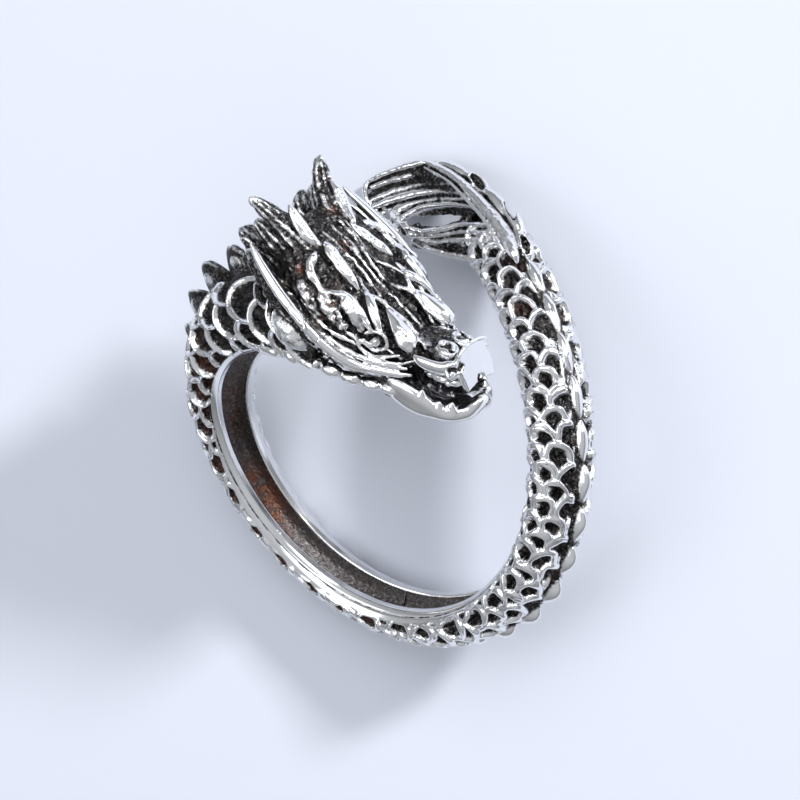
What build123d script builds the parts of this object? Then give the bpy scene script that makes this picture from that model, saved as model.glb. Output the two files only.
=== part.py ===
"""Open dragon ring: one silver casting that wraps once round a finger.

The body runs as a rising coil from a fan-shaped tail, under the finger, to a horned head with an
open mouth. Its inner side is hollowed into a channel, its outer side is covered in cupped scales
and carries a row of dorsal plates. Everything is first placed about the finger's axis (+Z, with
+Y towards the top of the finger), then the finished casting is laid on its side as it rests.
"""
import os
from math import acos, copysign, cos, degrees, pi, radians, sin, sqrt

from build123d import *

# Finger and band, in millimetres
finger_radius = 9.0
band_width = 3.7
band_height = 2.6
coil_spread = 14.4
channel_depth = 0.9
rim_width = 0.3

# Relief of the band, in millimetres
scale_length = 2.4
scale_depth = 0.24
scale_ridge = 0.12
plate_rise = 0.7

# Head and tail, in millimetres
head_length = 10.0
head_reach = 4.4
head_depth = 7.0
head_offset = -0.1
lobe_size = 1.0
tail_rise = 5.2
tail_reach = 3.4

# Directions, in degrees round the finger from the top of the finger
body_start = 14.0
body_end = 392.0
head_angle = 45.0
head_turn = 8.0
head_roll = 4.0

# Stretch of the band whose flank touches the table, in degrees, and roughly which way is up then
rest_start = 200.0
rest_end = 290.0
rest_up = Vector(0.58, 0.17, 0.80)

# Points round one section of the band, and the share of its half width where its rims lie
outer_steps = 18
rim_share = 0.62

# Sections of the band: angle, place along the finger, half width, height and channel as shares
# of coil_spread, band_width, band_height and channel_depth
BAND = [
    # angle, place, half_width, height, channel
    (0, -0.776, 0.34, 0.90, 0.0),
    (14, -0.724, 0.42, 0.98, 0.0),
    (30, -0.663, 0.45, 1.00, 0.9),
    (60, -0.545, 0.48, 0.98, 1.0),
    (90, -0.424, 0.50, 1.00, 1.0),
    (120, -0.306, 0.50, 1.00, 1.0),
    (150, -0.191, 0.50, 0.98, 1.0),
    (180, -0.083, 0.50, 0.96, 1.0),
    (210, 0.016, 0.47, 0.90, 1.0),
    (240, 0.104, 0.45, 0.86, 1.0),
    (270, 0.170, 0.46, 0.92, 1.0),
    (300, 0.212, 0.50, 1.12, 1.0),
    (320, 0.222, 0.57, 1.40, 0.8),
    (340, 0.208, 0.68, 1.70, 0.3),
    (360, 0.170, 0.84, 1.85, 0.0),
    (378, 0.124, 0.95, 1.70, 0.0),
    (392, 0.100, 0.92, 1.15, 0.0),
]

# Skull and jaw: place along the head, half width, underside and top as shares of head_length,
# head_reach and head_depth
SKULL = [
    # along, half_width, underside, top
    (-0.80, 0.50, 0.22, 0.78),
    (-0.65, 0.72, 0.06, 0.80),
    (-0.45, 0.86, -0.06, 0.74),
    (-0.25, 0.84, -0.10, 0.62),
    (-0.05, 0.68, -0.04, 0.56),
    (0.12, 0.52, 0.12, 0.49),
    (0.26, 0.43, 0.28, 0.46),
    (0.38, 0.36, 0.34, 0.54),
    (0.47, 0.37, 0.36, 0.68),
    (0.52, 0.30, 0.40, 0.64),
]
JAW = [
    (-0.55, 0.90, -0.15, 0.20),
    (-0.32, 0.94, -0.08, 0.20),
    (-0.12, 0.84, -0.03, 0.18),
    (0.05, 0.64, -0.04, 0.12),
    (0.22, 0.48, -0.05, 0.06),
    (0.38, 0.37, -0.08, 0.04),
    (0.50, 0.28, -0.09, 0.06),
    (0.57, 0.22, 0.00, 0.20),
]

# Lobes of the head, one row for each point: along, out to the side and up as shares of
# head_length, head_reach and head_depth, then half width and half thickness as shares of
# lobe_size. Each lobe is built on both sides of the head.
HEAD_LOBES = {
    "horn": [
        (-0.60, 0.30, 0.64, 0.85, 0.70),
        (-0.75, 0.35, 0.72, 0.78, 0.62),
        (-0.88, 0.45, 0.79, 0.58, 0.52),
        (-0.97, 0.62, 0.91, 0.34, 0.34),
    ],
    "ear": [
        (-0.55, 0.36, 0.36, 1.20, 0.70),
        (-0.74, 0.39, 0.37, 1.05, 0.60),
        (-0.90, 0.47, 0.43, 0.75, 0.45),
        (-1.04, 0.52, 0.48, 0.35, 0.30),
    ],
    "crest_leaf": [
        (-0.80, 0.32, 0.90, 0.20, 0.20),
        (-0.68, 0.32, 0.82, 0.42, 0.35),
        (-0.56, 0.31, 0.74, 0.40, 0.35),
        (-0.47, 0.30, 0.68, 0.20, 0.25),
    ],
    "brow_leaf": [
        (-0.53, 0.30, 0.74, 0.20, 0.25),
        (-0.42, 0.30, 0.68, 0.42, 0.38),
        (-0.27, 0.31, 0.60, 0.25, 0.30),
    ],
    "brow": [
        (-0.16, 0.36, 0.58, 0.22, 0.25),
        (0.00, 0.37, 0.56, 0.48, 0.45),
        (0.12, 0.37, 0.49, 0.52, 0.50),
        (0.19, 0.36, 0.42, 0.25, 0.30),
    ],
    "eye": [
        (-0.07, 0.50, 0.42, 0.30, 0.30),
        (0.01, 0.52, 0.41, 0.62, 0.55),
        (0.09, 0.50, 0.38, 0.30, 0.30),
    ],
    "cheek": [
        (-0.42, 0.66, 0.60, 0.30, 0.30),
        (-0.28, 0.70, 0.64, 0.42, 0.40),
        (-0.14, 0.68, 0.56, 0.40, 0.40),
        (-0.06, 0.66, 0.44, 0.25, 0.30),
    ],
    "whisker": [
        (-0.86, 0.85, 0.56, 0.24, 0.24),
        (-0.66, 0.94, 0.47, 0.42, 0.36),
        (-0.40, 0.98, 0.40, 0.44, 0.40),
        (-0.12, 0.88, 0.31, 0.44, 0.40),
        (0.08, 0.68, 0.27, 0.42, 0.38),
        (0.24, 0.46, 0.30, 0.28, 0.28),
    ],
    "mane": [
        (-0.95, 0.70, 0.40, 0.30, 0.30),
        (-0.74, 0.84, 0.42, 0.70, 0.55),
        (-0.45, 0.86, 0.34, 0.95, 0.70),
        (-0.12, 0.76, 0.22, 0.85, 0.60),
        (0.14, 0.52, 0.16, 0.45, 0.40),
    ],
    "chin": [
        (-0.56, 0.84, -0.07, 0.45, 0.36),
        (-0.38, 0.90, -0.04, 0.60, 0.46),
        (-0.18, 0.86, 0.00, 0.58, 0.46),
        (-0.02, 0.74, 0.02, 0.46, 0.38),
        (0.12, 0.56, 0.03, 0.28, 0.26),
    ],
    "nostril": [
        (0.28, 0.22, 0.50, 0.30, 0.25),
        (0.37, 0.24, 0.58, 0.48, 0.42),
        (0.45, 0.22, 0.62, 0.30, 0.30),
    ],
    "lip": [
        (0.20, 0.44, 0.42, 0.28, 0.30),
        (0.38, 0.36, 0.44, 0.34, 0.42),
        (0.50, 0.26, 0.44, 0.36, 0.50),
        (0.54, 0.18, 0.36, 0.24, 0.40),
    ],
    "jaw_lip": [
        (0.20, 0.44, 0.08, 0.25, 0.30),
        (0.40, 0.34, 0.04, 0.30, 0.34),
        (0.54, 0.20, 0.08, 0.30, 0.36),
        (0.55, 0.12, 0.22, 0.26, 0.30),
    ],
}

# Lobes of the tail fan, one row for each point: angle round the finger in tens of degrees, height
# over the finger and place along the finger past the coil's end as shares of tail_rise and
# tail_reach, then half width and half thickness as shares of lobe_size
TAIL_LOBES = {
    "rib": [
        (4.35, 0.56, 0.64, 0.22, 0.30),
        (3.05, 0.62, 0.51, 0.48, 0.50),
        (2.25, 0.69, 0.41, 0.50, 0.55),
        (1.60, 0.81, 0.36, 0.50, 0.55),
        (0.70, 0.90, 0.26, 0.44, 0.50),
        (0.00, 1.00, 0.14, 0.26, 0.30),
    ],
    "fan_top": [
        (1.60, 0.72, 0.26, 0.60, 0.60),
        (0.30, 0.90, 0.32, 0.62, 0.60),
        (-0.70, 0.98, 0.54, 0.52, 0.50),
        (-1.40, 1.02, 0.76, 0.28, 0.30),
    ],
    "fan_high": [
        (1.70, 0.60, 0.24, 0.60, 0.60),
        (0.30, 0.78, 0.36, 0.58, 0.55),
        (-0.60, 0.85, 0.58, 0.48, 0.46),
        (-1.35, 0.90, 0.82, 0.26, 0.28),
    ],
    "fan_mid": [
        (1.80, 0.50, 0.24, 0.66, 0.60),
        (0.40, 0.64, 0.40, 0.54, 0.46),
        (-0.50, 0.69, 0.64, 0.48, 0.42),
        (-1.20, 0.73, 0.90, 0.26, 0.26),
    ],
    "fan_low": [
        (2.20, 0.36, 0.30, 0.60, 0.60),
        (1.40, 0.40, 0.56, 0.50, 0.46),
        (0.60, 0.43, 0.82, 0.42, 0.40),
        (0.20, 0.44, 1.04, 0.24, 0.26),
    ],
    "fan_base": [
        (2.60, 0.18, 0.50, 0.60, 0.55),
        (1.60, 0.19, 0.74, 0.56, 0.46),
        (0.80, 0.23, 0.88, 0.46, 0.40),
        (0.30, 0.27, 1.00, 0.26, 0.26),
    ],
    "crest": [
        (4.40, 0.48, 0.30, 0.35, 0.40),
        (3.20, 0.56, 0.16, 0.52, 0.50),
        (2.30, 0.66, 0.06, 0.58, 0.55),
        (1.50, 0.77, 0.02, 0.56, 0.55),
        (0.60, 0.87, -0.02, 0.48, 0.50),
        (0.00, 0.92, 0.00, 0.28, 0.30),
    ],
}

# Where the tail fan starts along the finger, as a share of coil_spread
tail_place = -0.735

# Worked out from the sizes above
scale_turn = degrees(scale_length / (finger_radius + band_height))
scale_count = round((body_end - body_start) / scale_turn)
station_count = 4 * scale_count
station_turn = (body_end - body_start) / station_count
scale_profile = (-scale_depth, -0.6 * scale_depth, scale_ridge, -0.4 * scale_depth)
plate_profile = (0.1 * plate_rise, 0.5 * plate_rise, 0.85 * plate_rise, plate_rise)
finger_axis = Vector(0, 0, 1)
head_out = Vector(sin(radians(head_angle)), cos(radians(head_angle)), 0)
head_tangent = Vector(cos(radians(head_angle)), -sin(radians(head_angle)), 0)
head_along = head_tangent * cos(radians(head_turn)) - finger_axis * sin(radians(head_turn))
head_level = finger_axis * -cos(radians(head_turn)) - head_tangent * sin(radians(head_turn))
head_side = head_level * cos(radians(head_roll)) - head_out * sin(radians(head_roll))
head_up = head_out * cos(radians(head_roll)) + head_level * sin(radians(head_roll))
head_origin = head_out * finger_radius + finger_axis * head_offset


def outward(angle):
    """Direction away from the finger's axis at an angle round the finger."""
    return Vector(sin(radians(angle)), cos(radians(angle)), 0)


def smooth(rows, place):
    """The columns of a table at a place between its rows, on a smooth curve through them."""
    index = 0
    while index < len(rows) - 2 and rows[index + 1][0] < place:
        index += 1
    before = rows[max(index - 1, 0)]
    start = rows[index]
    end = rows[index + 1]
    after = rows[min(index + 2, len(rows) - 1)]
    span = end[0] - start[0]
    t = (place - start[0]) / span
    values = []
    for column in range(1, len(start)):
        slope_in = (end[column] - before[column]) / (end[0] - before[0]) * span
        slope_out = (after[column] - start[column]) / (after[0] - start[0]) * span
        rise = end[column] - start[column]
        bend = (slope_in - rise) * (1 - t) + (rise - slope_out) * t
        values.append(start[column] + rise * t + bend * t * (1 - t))
    return values


def relief(station, step):
    """Height of the cast relief at one point of the band: scales on the flanks, plates on top."""
    row = abs(step - outer_steps // 2)
    if row == 0:
        return plate_profile[station % 4]
    if step in (0, outer_steps):
        return 0
    if row % 2:
        return scale_ridge
    return scale_profile[(station + row) % 4]


def band_section(station):
    """Points round the band at one station: over the scaled outside, then through the channel."""
    angle = body_end - station * station_turn
    place, half_width, height, channel = smooth(BAND, angle)
    place *= coil_spread
    half_width *= band_width
    height *= band_height
    channel *= channel_depth
    dip = sqrt(1 - rim_share ** 2)
    belly = height * dip / (1 + dip)
    lowest = -acos(rim_share)
    rim = half_width * rim_share
    profile = []
    for step in range(outer_steps + 1):
        around = lowest + (pi - 2 * lowest) * step / outer_steps
        lift = relief(station, step)
        across = (half_width + lift) * cos(around)
        up = belly + (height - belly + lift) * sin(around)
        profile.append((across, up))
    profile.append((rim_width - rim, 0))
    profile.append((rim_width - 0.8 * rim, 0.9 * channel))
    profile.append((0, channel))
    profile.append((0.8 * rim - rim_width, 0.9 * channel))
    profile.append((rim - rim_width, 0))
    slope = (smooth(BAND, angle + 1)[0] - smooth(BAND, angle - 1)[0]) * coil_spread / 2
    lean = slope / radians(finger_radius)
    along = Vector(cos(radians(angle)), -sin(radians(angle)), lean).normalized()
    side = outward(angle).cross(along)
    if side.Z < 0:
        side = side * -1
    centre = finger_axis * place
    return [centre + side * a + outward(angle) * (finger_radius + u) for a, u in profile]


def oval(centre, side, up, half_width, half_thickness, sides, fullness=1.0):
    """Points round an oval section, which fills its corners more as fullness falls below one."""
    points = []
    for k in range(sides):
        turn = 2 * pi * k / sides
        across = copysign(abs(cos(turn)) ** fullness, cos(turn)) * half_width
        rise = copysign(abs(sin(turn)) ** fullness, sin(turn)) * half_thickness
        points.append(centre + side * across + up * rise)
    return points


def lobe(points, sizes, lean, sides=6):
    """Ovals along a path of points, each square to the path; lean is roughly the side they face."""
    ovals = []
    for index, point in enumerate(points):
        ahead = points[min(index + 1, len(points) - 1)]
        behind = points[max(index - 1, 0)]
        along = (ahead - behind).normalized()
        side = along.cross(lean).normalized()
        up = side.cross(along)
        half_width, half_thickness = sizes[index]
        ovals.append(oval(point, side, up, half_width, half_thickness, sides))
    return ovals


def facet(*corners):
    return Face(Wire.make_polygon(corners))


def solid_through(rings):
    """One closed solid through rings of points, with a flat fan over each end."""
    count = len(rings[0])
    faces = []
    for first, second in zip(rings, rings[1:]):
        for k in range(count):
            following = (k + 1) % count
            faces.append(facet(first[k], second[k], second[following]))
            faces.append(facet(first[k], second[following], first[following]))
    for ring in (rings[0], rings[-1]):
        middle = sum(ring, Vector()) / count
        for k in range(count):
            faces.append(facet(ring[k], ring[(k + 1) % count], middle))
    return Solid(Shell(faces))


def head_point(along, aside, up):
    """A point of the head from shares of its length, reach and depth."""
    offset = head_along * (along * head_length) + head_side * (aside * head_reach)
    return head_origin + offset + head_up * (up * head_depth)


def head_block(rows, sides=12):
    """The skull or the jaw: ovals across the head, one for each row."""
    ovals = []
    for along, half_width, underside, top in rows:
        centre = head_point(along, 0, (underside + top) / 2)
        half_height = (top - underside) / 2 * head_depth
        half_reach = half_width * head_reach
        ovals.append(oval(centre, head_side, head_up, half_reach, half_height, sides, 0.75))
    return ovals


def head_lobe(rows, hand):
    """One lobe of the head, on the side that hand gives as 1 or -1."""
    points = [head_point(along, aside * hand, up) for along, aside, up, _, _ in rows]
    sizes = [(width * lobe_size, thickness * lobe_size) for _, _, _, width, thickness in rows]
    return lobe(points, sizes, head_up)


def tail_lobe(rows):
    """One lobe of the tail fan, which stands up from the finger."""
    points = []
    for turn, rise, reach, _, _ in rows:
        radius = finger_radius + rise * tail_rise
        place = tail_place * coil_spread + reach * tail_reach
        points.append(outward(10 * turn) * radius + finger_axis * place)
    sizes = [(width * lobe_size, thickness * lobe_size) for _, _, _, width, thickness in rows]
    return lobe(points, sizes, finger_axis)


def flat_points(rings):
    """All the points of a list of rings."""
    return [point for ring in rings for point in ring]


def resting_up(groups, up):
    """The direction that points up once the lowest point of each of three groups is on a table."""
    for _ in range(4):
        first, second, third = [min(points, key=lambda p: p.dot(up)) for points in groups]
        normal = (second - first).cross(third - first).normalized()
        up = normal if normal.dot(up) > 0 else normal * -1
    return up


band = [band_section(station) for station in range(station_count + 1)]
blocks = [head_block(SKULL), head_block(JAW)]
for rows in HEAD_LOBES.values():
    blocks.append(head_lobe(rows, 1))
    blocks.append(head_lobe(rows, -1))
fan = [tail_lobe(rows) for rows in TAIL_LOBES.values()]

with BuildPart() as casting:
    add(solid_through(band))
    add([solid_through(rings) for rings in blocks + fan])

# The ring lies on the tail fan, the tail end of the band and the left flank of the band
flank_first = round((body_end - rest_end) / station_turn)
flank_last = round((body_end - rest_start) / station_turn)
flank = flat_points(band[flank_first:flank_last])
tail_end = flat_points(band[-8:])
fan_points = flat_points([ring for rings in fan for ring in rings])
up = resting_up([flank, tail_end, fan_points], rest_up)
table = Plane(origin=(0, 0, 0), x_dir=outward(0).cross(up), z_dir=up)

with BuildPart() as dragon_ring:
    laid = table.to_local_coords(casting.part)
    box = laid.bounding_box()
    middle = box.center()
    add(laid.moved(Location((-middle.X, -middle.Y, -box.min.Z))))

os.makedirs("parts", exist_ok=True)
dragon_ring.part.label = "dragon_ring"
export_step(dragon_ring.part, "parts/dragon_ring.step")
print("solids", len(dragon_ring.part.solids()), "volume", round(dragon_ring.part.volume, 2))
print("faces", len(dragon_ring.part.faces()), "valid", dragon_ring.part.is_valid)
print("table x", table.x_dir, "up", table.z_dir, "shift", -middle.X, -middle.Y, -box.min.Z)
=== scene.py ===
"""Open dragon ring, dressed for the camera: relief, patina, polish, table, lights and camera.

The band is a swept mesh whose outside is lifted by its relief. The head and the tail fan are
modelled as distances on a grid, out of strands joined and carved, and then meshed.
"""

from copy import copy
from math import acos, cos, pi, radians, sin, sqrt

import bpy
import numpy as np
import openvdb
from mathutils import Matrix, Vector


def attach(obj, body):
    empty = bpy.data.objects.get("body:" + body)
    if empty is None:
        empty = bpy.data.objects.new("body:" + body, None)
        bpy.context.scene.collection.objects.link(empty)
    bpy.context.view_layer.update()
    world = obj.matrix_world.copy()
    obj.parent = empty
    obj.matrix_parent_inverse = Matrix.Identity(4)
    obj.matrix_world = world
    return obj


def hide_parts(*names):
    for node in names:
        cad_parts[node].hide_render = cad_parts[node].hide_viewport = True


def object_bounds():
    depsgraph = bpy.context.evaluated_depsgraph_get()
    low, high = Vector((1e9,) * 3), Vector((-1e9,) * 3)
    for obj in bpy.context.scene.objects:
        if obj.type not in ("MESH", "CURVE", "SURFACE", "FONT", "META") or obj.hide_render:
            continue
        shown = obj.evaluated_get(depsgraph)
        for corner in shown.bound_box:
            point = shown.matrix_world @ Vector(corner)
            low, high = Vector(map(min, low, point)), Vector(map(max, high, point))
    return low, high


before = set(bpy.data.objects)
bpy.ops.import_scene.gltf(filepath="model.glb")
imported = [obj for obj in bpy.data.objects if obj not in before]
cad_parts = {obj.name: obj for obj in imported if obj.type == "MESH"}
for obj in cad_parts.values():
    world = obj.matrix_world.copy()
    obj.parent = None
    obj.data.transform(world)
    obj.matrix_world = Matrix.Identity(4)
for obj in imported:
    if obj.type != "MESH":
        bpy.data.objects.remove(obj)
cad_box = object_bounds()

# Sizes of the ring in millimetres, as in its source
finger_radius = 9.0
band_width = 3.7
band_height = 2.6
coil_spread = 14.4
channel_depth = 0.9
rim_width = 0.3
rim_share = 0.62
body_start = 14.0
body_end = 392.0
head_length = 10.0
head_reach = 4.4
head_depth = 7.0
head_offset = -0.1
head_angle = 45.0
head_turn = 8.0
head_roll = 4.0
tail_rise = 5.2
tail_reach = 3.4
tail_place = -0.735

# The grids that the head and tail are modelled on: their cells and the depths of their cast
# grain, the cut across the head and the lap of its parts, and the spacing of the skull's grooves
head_cell = 0.073
tail_cell = 0.072
head_grain = 0.045
tail_grain = 0.03
head_cut = -2.4
head_lap = 0.12
groove_spacing = 0.40

# How the finger's frame lies on the table, as the ring's source prints it
TABLE_X = np.array((0.813208, 0.0, -0.581974))
TABLE_UP = np.array((0.572958, 0.175337, 0.80061))
TABLE_SHIFT = np.array((-1.1895316, -2.8621291, 6.3132055))
TABLE = np.array((TABLE_X, np.cross(TABLE_UP, TABLE_X), TABLE_UP))

# The photo's view in the finger's frame: right, up and towards the camera
VIEW_RIGHT = np.array((0.5167, -0.3626, -0.7756))
VIEW_UP = np.array((0.0040, 0.9069, -0.4213))
VIEW_BACK = np.array((0.8562, 0.2146, 0.4700))
camera_distance = 250.0

# Sections of the band: degrees round the finger from its top, then shares of coil_spread,
# band_width, band_height and channel_depth
BAND = [
    # angle, place, half_width, height, channel
    (0, -0.776, 0.34, 0.90, 0.0),
    (14, -0.724, 0.42, 0.98, 0.0),
    (30, -0.663, 0.45, 1.00, 0.9),
    (60, -0.545, 0.48, 0.98, 1.0),
    (90, -0.424, 0.50, 1.00, 1.0),
    (120, -0.306, 0.50, 1.00, 1.0),
    (150, -0.191, 0.50, 0.98, 1.0),
    (180, -0.083, 0.50, 0.96, 1.0),
    (210, 0.016, 0.47, 0.90, 1.0),
    (240, 0.104, 0.45, 0.86, 1.0),
    (270, 0.170, 0.46, 0.92, 1.0),
    (300, 0.212, 0.50, 1.12, 1.0),
    (320, 0.222, 0.57, 1.40, 0.8),
    (340, 0.208, 0.68, 1.70, 0.3),
    (360, 0.170, 0.84, 1.85, 0.0),
    (378, 0.124, 0.95, 1.70, 0.0),
    (392, 0.100, 0.92, 1.15, 0.0),
]
# Skull, jaw and nose: shares of head_length, head_reach and head_depth
SKULL = [
    # along, half_width, underside, top
    (-0.80, 0.50, 0.22, 0.78),
    (-0.65, 0.72, 0.06, 0.80),
    (-0.45, 0.86, -0.06, 0.74),
    (-0.25, 0.84, -0.10, 0.62),
    (-0.05, 0.68, -0.04, 0.56),
    (0.12, 0.52, 0.12, 0.49),
    (0.26, 0.43, 0.28, 0.46),
    (0.38, 0.31, 0.34, 0.53),
    (0.47, 0.24, 0.38, 0.60),
    (0.52, 0.18, 0.42, 0.58),
]
JAW = [
    # along, half_width, underside, top
    (-0.55, 0.90, -0.15, 0.20),
    (-0.32, 0.94, -0.08, 0.20),
    (-0.12, 0.84, -0.03, 0.18),
    (0.05, 0.64, -0.04, 0.12),
    (0.22, 0.48, -0.05, 0.06),
    (0.38, 0.37, -0.08, 0.04),
    (0.50, 0.28, -0.09, 0.06),
    (0.57, 0.22, 0.00, 0.20),
]
NOSE = [
    # along, half_width, underside, top
    (0.42, 0.20, 0.44, 0.66),
    (0.44, 0.27, 0.41, 0.69),
    (0.48, 0.285, 0.41, 0.695),
    (0.54, 0.27, 0.41, 0.70),
    (0.60, 0.27, 0.41, 0.70),
]

UP = np.array((0, 0, 1.0))


def smooth(rows, places):
    """Columns of a table at places between its rows, on a smooth curve through them."""
    table = np.array(rows, float)
    keys = table[:, 0]
    places = np.atleast_1d(np.asarray(places, float))
    index = np.clip(np.searchsorted(keys, places) - 1, 0, len(keys) - 2)
    before = np.maximum(index - 1, 0)
    after = np.minimum(index + 2, len(keys) - 1)
    span = keys[index + 1] - keys[index]
    t = ((places - keys[index]) / span)[:, None]
    start, end = table[index, 1:], table[index + 1, 1:]
    slope_in = (end - table[before, 1:]) * (span / (keys[index + 1] - keys[before]))[:, None]
    slope_out = (table[after, 1:] - start) * (span / (keys[after] - keys[index]))[:, None]
    rise = end - start
    bend = (slope_in - rise) * (1 - t) + (rise - slope_out) * t
    return start + rise * t + bend * t * (1 - t)


def step_between(low, high, values):
    """Zero below low, one above high, and a soft step between."""
    t = np.clip((values - low) / (high - low), 0, 1)
    return t * t * (3 - 2 * t)


def bell(values, width):
    """One at zero, falling smoothly to nothing on both sides."""
    return np.exp(-(values / width) ** 2)


def chance(i, j, seed):
    """A repeatable number from 0 to 1 for each pair of whole numbers."""
    value = np.sin(i * 127.1 + j * 311.7 + seed * 74.7) * 43758.5453
    return value - np.floor(value)


def on_table(points):
    """Millimetres in the finger's frame to metres on the table."""
    return (points @ TABLE.T + TABLE_SHIFT) * 0.001


def mesh_piece(name, points, faces, shine, stain, haze, material, caps=0):
    """A closed piece of the ring, its shine, stain and haze kept at each point; caps come last."""
    mesh = bpy.data.meshes.new(name)
    mesh.from_pydata(np.clip(points, *np.array(cad_box)), [], faces)
    mesh.update()
    colours = np.ones((len(points), 4), np.float32)
    colours[:, 0] = np.clip(shine, 0, 1)
    colours[:, 1] = np.clip(stain, 0, 1)
    colours[:, 2] = haze
    tone = mesh.color_attributes.new("tone", "FLOAT_COLOR", "POINT")
    tone.data.foreach_set("color", colours.ravel())
    mesh.polygons.foreach_set("use_smooth", [True] * (len(faces) - caps) + [False] * caps)
    if caps:
        ends = np.zeros(len(mesh.edges) * 2, np.int32)
        mesh.edges.foreach_get("vertices", ends)
        ends = ends.reshape(-1, 2)
        ring = caps // 2
        sharp = (ends < ring).all(axis=1) | (ends >= len(points) - 2 - ring).all(axis=1)
        mesh.attributes.new("sharp_edge", "BOOLEAN", "EDGE").data.foreach_set("value", sharp)
    mesh.materials.append(material)
    piece = bpy.data.objects.new(name, mesh)
    bpy.context.scene.collection.objects.link(piece)
    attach(piece, "root")
    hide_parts("dragon_ring")


# The band

PITCH = [
    # angle, turn from one scale to the next
    (0, 10.6),
    (60, 10.4),
    (110, 10.3),
    (160, 11.0),
    (210, 11.4),
    (250, 12.6),
    (290, 14.6),
    (320, 16.8),
    (392, 17.0),
]
SKIN = [
    # angle, ridge, wall, depth, smooth_side, reach, plates, spine
    (0, 0.12, 0.09, 0.46, 0.35, 1.16, 0.50, -0.42),
    (60, 0.12, 0.19, 0.40, 0.35, 1.16, 0.60, -0.42),
    (78, 0.11, 0.27, 0.36, 0.38, 1.16, 0.56, -0.42),
    (95, 0.11, 0.29, 0.36, 0.42, 1.15, 0.74, -0.42),
    (120, 0.11, 0.30, 0.38, 0.50, 1.15, 1.00, -0.42),
    (160, 0.10, 0.29, 0.36, 0.70, 1.15, 1.00, -0.42),
    (195, 0.07, 0.28, 0.28, 0.90, 1.05, 0.85, -0.42),
    (230, 0.03, 0.33, 0.24, 0.95, 1.00, 0.55, -0.42),
    (265, 0.04, 0.29, 0.26, 0.88, 1.05, 0.60, -0.30),
    (295, 0.08, 0.19, 0.32, 0.60, 1.15, 0.95, -0.05),
    (325, 0.11, 0.13, 0.38, 0.45, 1.22, 1.45, 0.10),
    (392, 0.12, 0.13, 0.38, 0.45, 1.22, 1.20, 0.05),
]
# Relief in millimetres; drawn_half is the half arc that the rows of scales were measured on
scale_rows = 6
row_width = 0.71
first_row = 0.93
drawn_half = 4.08
scale_corner = 2.3
flank_stagger = 0.23
turn_jitter = 0.12
side_jitter = 0.16
plate_turn = (body_end - body_start) / 32
plate_rise = 0.66
line_from_rim = 0.42

# Scales counted from the top of the finger, at every half degree
counted = np.arange(0, 393, 0.5)
turns = np.interp(counted[:-1] + 0.25, *np.array(PITCH).T)
count_up = np.concatenate([[0], np.cumsum(0.5 / turns)])


def scales_near(phase, rank, flank, pitch, stretch, reach, loose):
    """Each scale that may cover a point: whether it is real, its row, its number along the row,
    its order from the head, how far ahead of its middle the point lies, its size and its edge."""
    along = 0.50 * pitch
    for row_step in (-2, -1, 0, 1, 2):
        row = np.round(rank) + row_step
        real = (row >= 0) & (row < scale_rows)
        stagger = 0.5 * (np.abs(row) % 2) + flank_stagger * (flank < 0)
        for step in (-1, 0, 1, 2):
            i = np.floor(phase - stagger) + step
            late = turn_jitter * loose * (chance(i + 40 * flank, row, 1) - 0.5)
            ahead = (phase - stagger - i - late) * pitch / along
            off = side_jitter * loose * (chance(i + 40 * flank, row, 2) - 0.5)
            aside = (rank - row + off) * row_width * stretch
            growth = turn_jitter * loose * (chance(i, row, 4) - 0.5)
            wide = row_width * stretch * (reach + growth + 0.12 * (row < 1))
            q = np.abs(ahead) ** scale_corner + np.abs(aside / wide) ** scale_corner
            q = np.sqrt(q) ** (2 / scale_corner)
            order = i + stagger + 0.001 * row
            yield real, row, i, order, ahead, 0.5 * (along * 0.8 + wide * 0.6), q


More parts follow.
